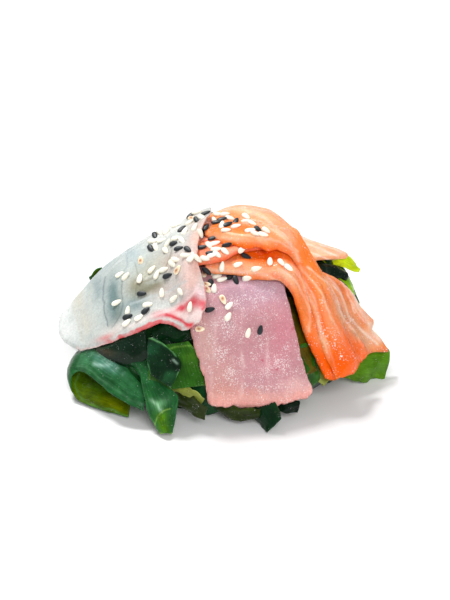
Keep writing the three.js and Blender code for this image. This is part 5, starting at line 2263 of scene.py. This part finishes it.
WHITE_SEEDS = (
    (139, 240, 0), (153, 242, 0), (156, 248, -70), (162, 241, 20), (160, 233, -60),
    (167, 232, 50), (166, 251, -50), (168, 244, 60), (176, 239, 10), (182, 241, -50),
    (185, 232, 60), (176, 226, 10), (197, 213, 10), (195, 228, 60), (200, 234, -70),
    (202, 218, -20), (190, 223, 30), (152, 270, 50), (164, 270, 15), (157, 275, 70),
    (140, 279, 80), (126, 277, 45), (120, 275, 35), (173, 264, -45), (176, 260, -15),
    (186, 256, 0), (191, 259, 45), (197, 259, -40), (205, 259, -10), (162, 293, 90),
    (181, 292, -50), (174, 299, 40), (190, 307, 80), (117, 303, 30), (148, 305, 15),
    (128, 311, 80), (139, 318, 30), (127, 323, 40), (218, 215, 0), (225, 215, 5),
    (246, 217, -40), (214, 221, -60), (230, 219, -20), (222, 226, 75), (246, 222, 0),
    (252, 224, -25), (236, 227, 8), (226, 231, 0), (250, 231, 5), (255, 234, -20),
    (266, 231, -30), (263, 235, -15), (209, 246, -55), (215, 244, 20), (216, 250, 5),
    (225, 252, -45), (212, 256, 10), (217, 255, -40), (242, 249, 45), (222, 267, 80),
    (238, 265, 20), (256, 269, 10), (270, 262, 90), (281, 263, -55), (288, 268, -40),
    (212, 274, -30), (217, 277, 15), (222, 280, 15), (247, 278, 10), (214, 289, 85),
    (229, 306, 45), (228, 317, 60), (248, 333, 75),
)
BLACK_SEEDS = (
    (191, 216, 50), (206, 214, 25), (197, 221, -60), (206, 228, 55), (182, 230, 40),
    (155, 236, -70), (151, 249, -55), (174, 244, 15), (179, 249, 15), (188, 250, -40),
    (202, 248, 5), (168, 276, 20), (142, 294, 0), (146, 311, 40), (128, 317, 20),
    (213, 239, 15), (227, 245, 20), (222, 220, 10), (217, 223, 10), (228, 225, 30),
    (236, 222, 60), (258, 230, -40), (246, 257, -20), (211, 254, 0), (207, 271, -40),
    (230, 277, 60), (236, 281, -70), (211, 284, -80), (210, 310, 15), (260, 330, 80),
)
TOASTED_SEEDS = (
    (141, 261, 90), (178, 270, 60), (200, 329, 0), (204, 274, 90), (206, 285, 0),
    (207, 290, -45), (223, 300, -65), (193, 219, 0),
)


@dataclass
class Studio:
    """Pale floor, soft lights and the camera."""

    HALF_FLOOR = 3000.0
    FLOOR = -0.02  # just under the heap's flat face
    WHITENESS = 0.94
    AIM = (0.0, 0.0, 20.0)
    SKY_LIGHT = 0.35
    SENSOR = 36.0

    def floor(self) -> bpy.types.Object:
        """Lays a wide pale floor."""
        corners = ((-1, -1), (1, -1), (1, 1), (-1, 1))
        half = self.HALF_FLOOR
        points = np.array([(x * half, y * half, self.FLOOR) for x, y in corners])
        bench = Bench("pale_floor")
        pale = (*[self.WHITENESS] * 3, 1)
        bench.set(Base_Color=pale, Roughness=0.6, Specular_IOR_Level=0.2)
        made = MeshData(points, np.array([[0, 1, 2, 3]])).piece("floor", bench.material)
        return made

    def lamp(
        self, name: str, place: Point, size: float, watts: float, mirrored: bool = True
    ) -> None:
        """Hangs a square soft lamp that looks at the heap.

        Args:
            name: Its name.
            place: Where it hangs, in millimetres.
            size: Length of its side, in millimetres.
            watts: Its power.
            mirrored: Whether wet surfaces mirror it.
        """
        light = bpy.data.lights.new(name, "AREA")
        light.shape, light.size, light.energy = "SQUARE", size * MM, watts
        lamp = bpy.data.objects.new(name, light)
        lamp.location = Vector(place) * MM
        toward = Vector(self.AIM) * MM - lamp.location
        lamp.rotation_euler = toward.to_track_quat("-Z", "Y").to_euler()
        lamp.visible_glossy = mirrored
        bpy.context.scene.collection.objects.link(lamp)

    def build(self) -> None:
        """Sets the floor, the lights and the camera."""
        self.floor()
        self.lamp("key", (-250, 330, 760), 200, 6.5)
        self.lamp("fill", (250, -800, 600), 600, 6.0, mirrored=False)
        scene = bpy.context.scene
        world = bpy.data.worlds.new("studio")
        world.use_nodes = True
        sky = world.node_tree.nodes["Background"].inputs
        sky["Color"].default_value = (1, 1, 1, 1)
        sky["Strength"].default_value = self.SKY_LIGHT
        scene.world = world
        scene.view_settings.view_transform = "Standard"
        lens = bpy.data.cameras.new("photo_view")
        lens.sensor_width = self.SENSOR
        lens.lens = self.SENSOR / 2 / (PhotoView.MIDDLE[1] / PhotoView.PIXELS)
        camera = bpy.data.objects.new("photo_view", lens)
        camera.location = Vector(PhotoView.EYE) * MM
        camera.rotation_euler = Vector(PhotoView.AHEAD).to_track_quat("-Z", "Y").to_euler()
        scene.collection.objects.link(camera)
        scene.camera = camera
        LOG.info("floor, lights and camera are set")


SALMON_FLESH = WetFlesh(
    "salmon_flesh", 0.1, (0.1, 0.6), 2.0, (1.0, 0.35, 0.08), 0.45, (0.2, 0.4), (-0.6, 0.8),
    (0.1, 0.15),
)
WHITE_FLESH = WetFlesh(
    "white_fish_flesh", 0.05, (0.06, 0.6), 1.5, (1.0, 0.95, 0.9), 0.3, (0.15, 0.35)
)
PINK_FLESH = WetFlesh(
    "pink_fish_flesh", 0.06, (0.16, 0.5), 1.0, (1.0, 0.6, 0.55), 0.3, (0.2, 0.4), (0.2, 0.55)
)

FAT_LINES = (
    # the first line also lies along the crease where the top slice meets the front one, painted pale
    # there against the crease's shade
    (((284, 262), (301, 275), (306, 291), (314, 311), (321, 334), (330, 358)), 1.9),
    (((278, 269), (291, 277), (301, 290), (307, 303), (309, 318), (309, 332)), 1.3),
    (
        (
            (283, 262), (297, 274), (308, 288), (314, 302), (316, 318), (323, 334), (331, 351),
            (338, 374),
        ),
        1.2,
    ),
    (
        (
            (300, 267), (312, 280), (321, 293), (324, 304), (330, 316), (338, 330), (346, 345),
            (353, 356),
        ),
        1.5,
    ),
    (((309, 267), (322, 277), (331, 287), (336, 300), (341, 313), (353, 329), (363, 345)), 1.2),
)
FRONT_LINE = (((206, 271), (230, 270), (252, 273), (272, 279), (284, 288), (291, 300)), 1.8)
LOBE_LINES = (
    (((296, 236), (312, 242), (330, 247), (346, 252)), 1.4),
    (((300, 244), (318, 249), (338, 256)), 1.2),
    (((303, 252), (318, 256), (330, 260)), 0.9),
)
FLAP_LINES = (
    (((326, 276), (336, 288), (344, 302), (350, 316), (362, 330), (378, 346)), 1.3),
    (((334, 274), (344, 286), (350, 298), (356, 312)), 0.9),
    (((343, 278), (353, 292), (360, 308), (368, 322), (380, 342)), 2.6),
    (((352, 300), (362, 318), (374, 332)), 0.8),
)
TOP_LINES = (
    (((214, 214), (240, 209), (256, 213), (269, 222), (281, 235), (291, 247), (299, 262)), 2.2),
    (((240, 216), (258, 221), (272, 229), (286, 240), (297, 253)), 1.1),
    (((250, 211), (264, 216), (276, 227), (288, 239)), 0.9),
    (((222, 231), (240, 235), (258, 236), (275, 240), (292, 251)), 1.4),
)

# In these painters the pale patches are paler flesh with painted sheen and highlights, and the deeper
# patches are deeper flesh with painted shade in the valleys under the slices above.
FRONT_PAINTER = SalmonPainter(
    "f57622", "fa6000", "fcd4b8",
    (*FAT_LINES, FRONT_LINE),
    deep_and_shaded=((322, 350, 18, 26, 60, 1.0), (268, 256, 34, 7, -12, 1.0)),
    pale=((246, 269, 44, 7, -10, 0.5), (286, 279, 13, 8, -40, 0.7)),
    end=1.0,
)
SMALL_PAINTER = SalmonPainter(
    "f5835c", "ee5426", "fdb89a",
    pale=((205, 262, 12, 6, 10, 0.5), (235, 251, 10, 3, 20, 0.7)),
)
LOBE_PAINTER = SalmonPainter(
    "f8ae84", "f59460", "fee6d6",
    LOBE_LINES,
    deep_and_shaded=((312, 260, 16, 3, 5, 0.8),),
    pale=((325, 253, 14, 4, -10, 0.5), (300, 240, 16, 6, -30, 0.5)),
)
FLAP_PAINTER = SalmonPainter(
    "ee8a50", "d4601f", "f8e0d0",
    FLAP_LINES,
    deep_and_shaded=((341, 290, 20, 6, -62, 1.0), (362, 318, 12, 4, -60, 0.6)),
    pale=((372, 335, 8, 14, -50, 0.6),),
    veil=((350, 318, 26, 5, -58, 0.9), (362, 340, 9, 5, -50, 0.7)),
)
TOP_PAINTER = SalmonPainter(
    "f57c2c", "fa6000", "fcd2b4",
    TOP_LINES + FAT_LINES,
    deep_and_shaded=(
        (288, 249, 12, 5, -25, 0.7), (318, 330, 7, 26, -25, 0.7),
        (330, 368, 26, 9, 10, 1.0), (300, 300, 6, 24, -30, 0.6),
    ),
    pale=(
        (240, 204, 40, 6, -5, 0.25), (334, 330, 6, 26, 25, 0.25),
        (262, 214, 30, 9, -20, 0.5), (230, 238, 22, 3, -6, 0.6),
        (286, 236, 12, 8, -40, 0.4), (262, 237, 9, 5, -20, 0.6),
    ),
    end=0.9,
    veil=((350, 324, 28, 7, -55, 0.95), (366, 348, 8, 6, -40, 0.8)),
)

FRONT_FLARE = ((0, 0), (0.18, 0.2), (0.28, 1.4), (0.4, 1.2), (0.5, 0), (1, 0))
FLAP_FLARE = (
    (0, 0), (0.42, 0), (0.56, 1.4), (0.67, -1.2), (0.76, 3), (0.83, -2.4), (0.9, -0.8), (1, 0.4),
)
FLAP_BULGE = (
    (0, 0), (0.35, 0), (0.5, 1), (0.64, 1), (0.71, 1.7), (0.77, 2.2), (0.83, 0.5), (0.92, 1.3),
    (1, 1.3),
)
TOP_TAIL = (
    (0, 0.6), (0.12, 2), (0.25, 2.2), (0.4, 1.6), (0.5, 0.2), (0.65, -2.4), (0.8, -4), (1, -3),
)
WHITE_HEM = (
    (0, 0), (0.1, 1), (0.22, 1.4), (0.32, 0), (0.5, -0.8), (0.66, -0.4), (0.78, 2.4), (0.88, 2),
    (1, -0.4),
)
WHITE_FLARE = ((0, -2), (0.08, -1.4), (0.16, 0), (1, 0))


def slices() -> list[tuple[FishSlice, Painter]]:
    """Returns every slice with its painter, from the bottom up."""
    by_name = {cut.node: cut for cut in SLICE_CUTS}

    def salmon(node: str, slot: str, **sizes: object) -> FishSlice:
        """Returns a slice of salmon with the sizes in which it differs."""
        return FishSlice(by_name[node], slot, SALMON_FLESH, ragged=0.18, **sizes)

    front = salmon("salmon_front_slice", "salmon", cling=(0.5, 0), flare=(FRONT_FLARE, FLAT))
    small = salmon("salmon_small_flap", "salmon_dark", cling=(0.5, 0))
    lobe = salmon("salmon_back_slice", "salmon_pale")
    flap = salmon("salmon_flap", "salmon_pale", flare=(FLAT, FLAP_FLARE), bulge=FLAP_BULGE)
    top = salmon(
        "salmon_top_slice",
        "salmon",
        scallop=(0.5, 9.0, 0.45),
        thin=((4.0, 0.3), (1.2, 0.8)),
        cling=(1.0, 0),
        melt=(0.42, 0.56),
        tail=TOP_TAIL,
    )
    pink = FishSlice(by_name["pink_fish_slice"], "pink_fish", PINK_FLESH, ragged=0.5)
    white = FishSlice(
        by_name["white_fish_slice"],
        "white_fish",
        WHITE_FLESH,
        thin=((1.2, 0.75), (3.0, 0.35)),
        shelter=3.0,
        flare=(FLAT, WHITE_FLARE),
        hem=WHITE_HEM,
    )
    return [
        (pink, PinkPainter()),
        (front, FRONT_PAINTER),
        (small, SMALL_PAINTER),
        (lobe, LOBE_PAINTER),
        (flap, FLAP_PAINTER),
        (top, TOP_PAINTER),
        (white, WhitePainter()),
    ]


def main() -> None:
    """Builds every piece in order and reports it."""
    Studio().build()
    laid: list[LaidSlice] = []
    for fish, painter in slices():
        laid.append(fish.made(painter, laid))
    pieces = [one.piece for one in laid] + Wakame().build(laid)
    seeds = (WHITE_SEEDS, BLACK_SEEDS, TOASTED_SEEDS)
    for kind, places in zip(SeedKind, seeds):
        pieces.append(Sesame(kind, places, laid).build())
    for piece in pieces:
        LOG.info("%s: %d faces", piece.name, len(piece.data.polygons))


if __name__ == "__main__":
    logging.basicConfig(level=logging.INFO, format="%(message)s")
    main()
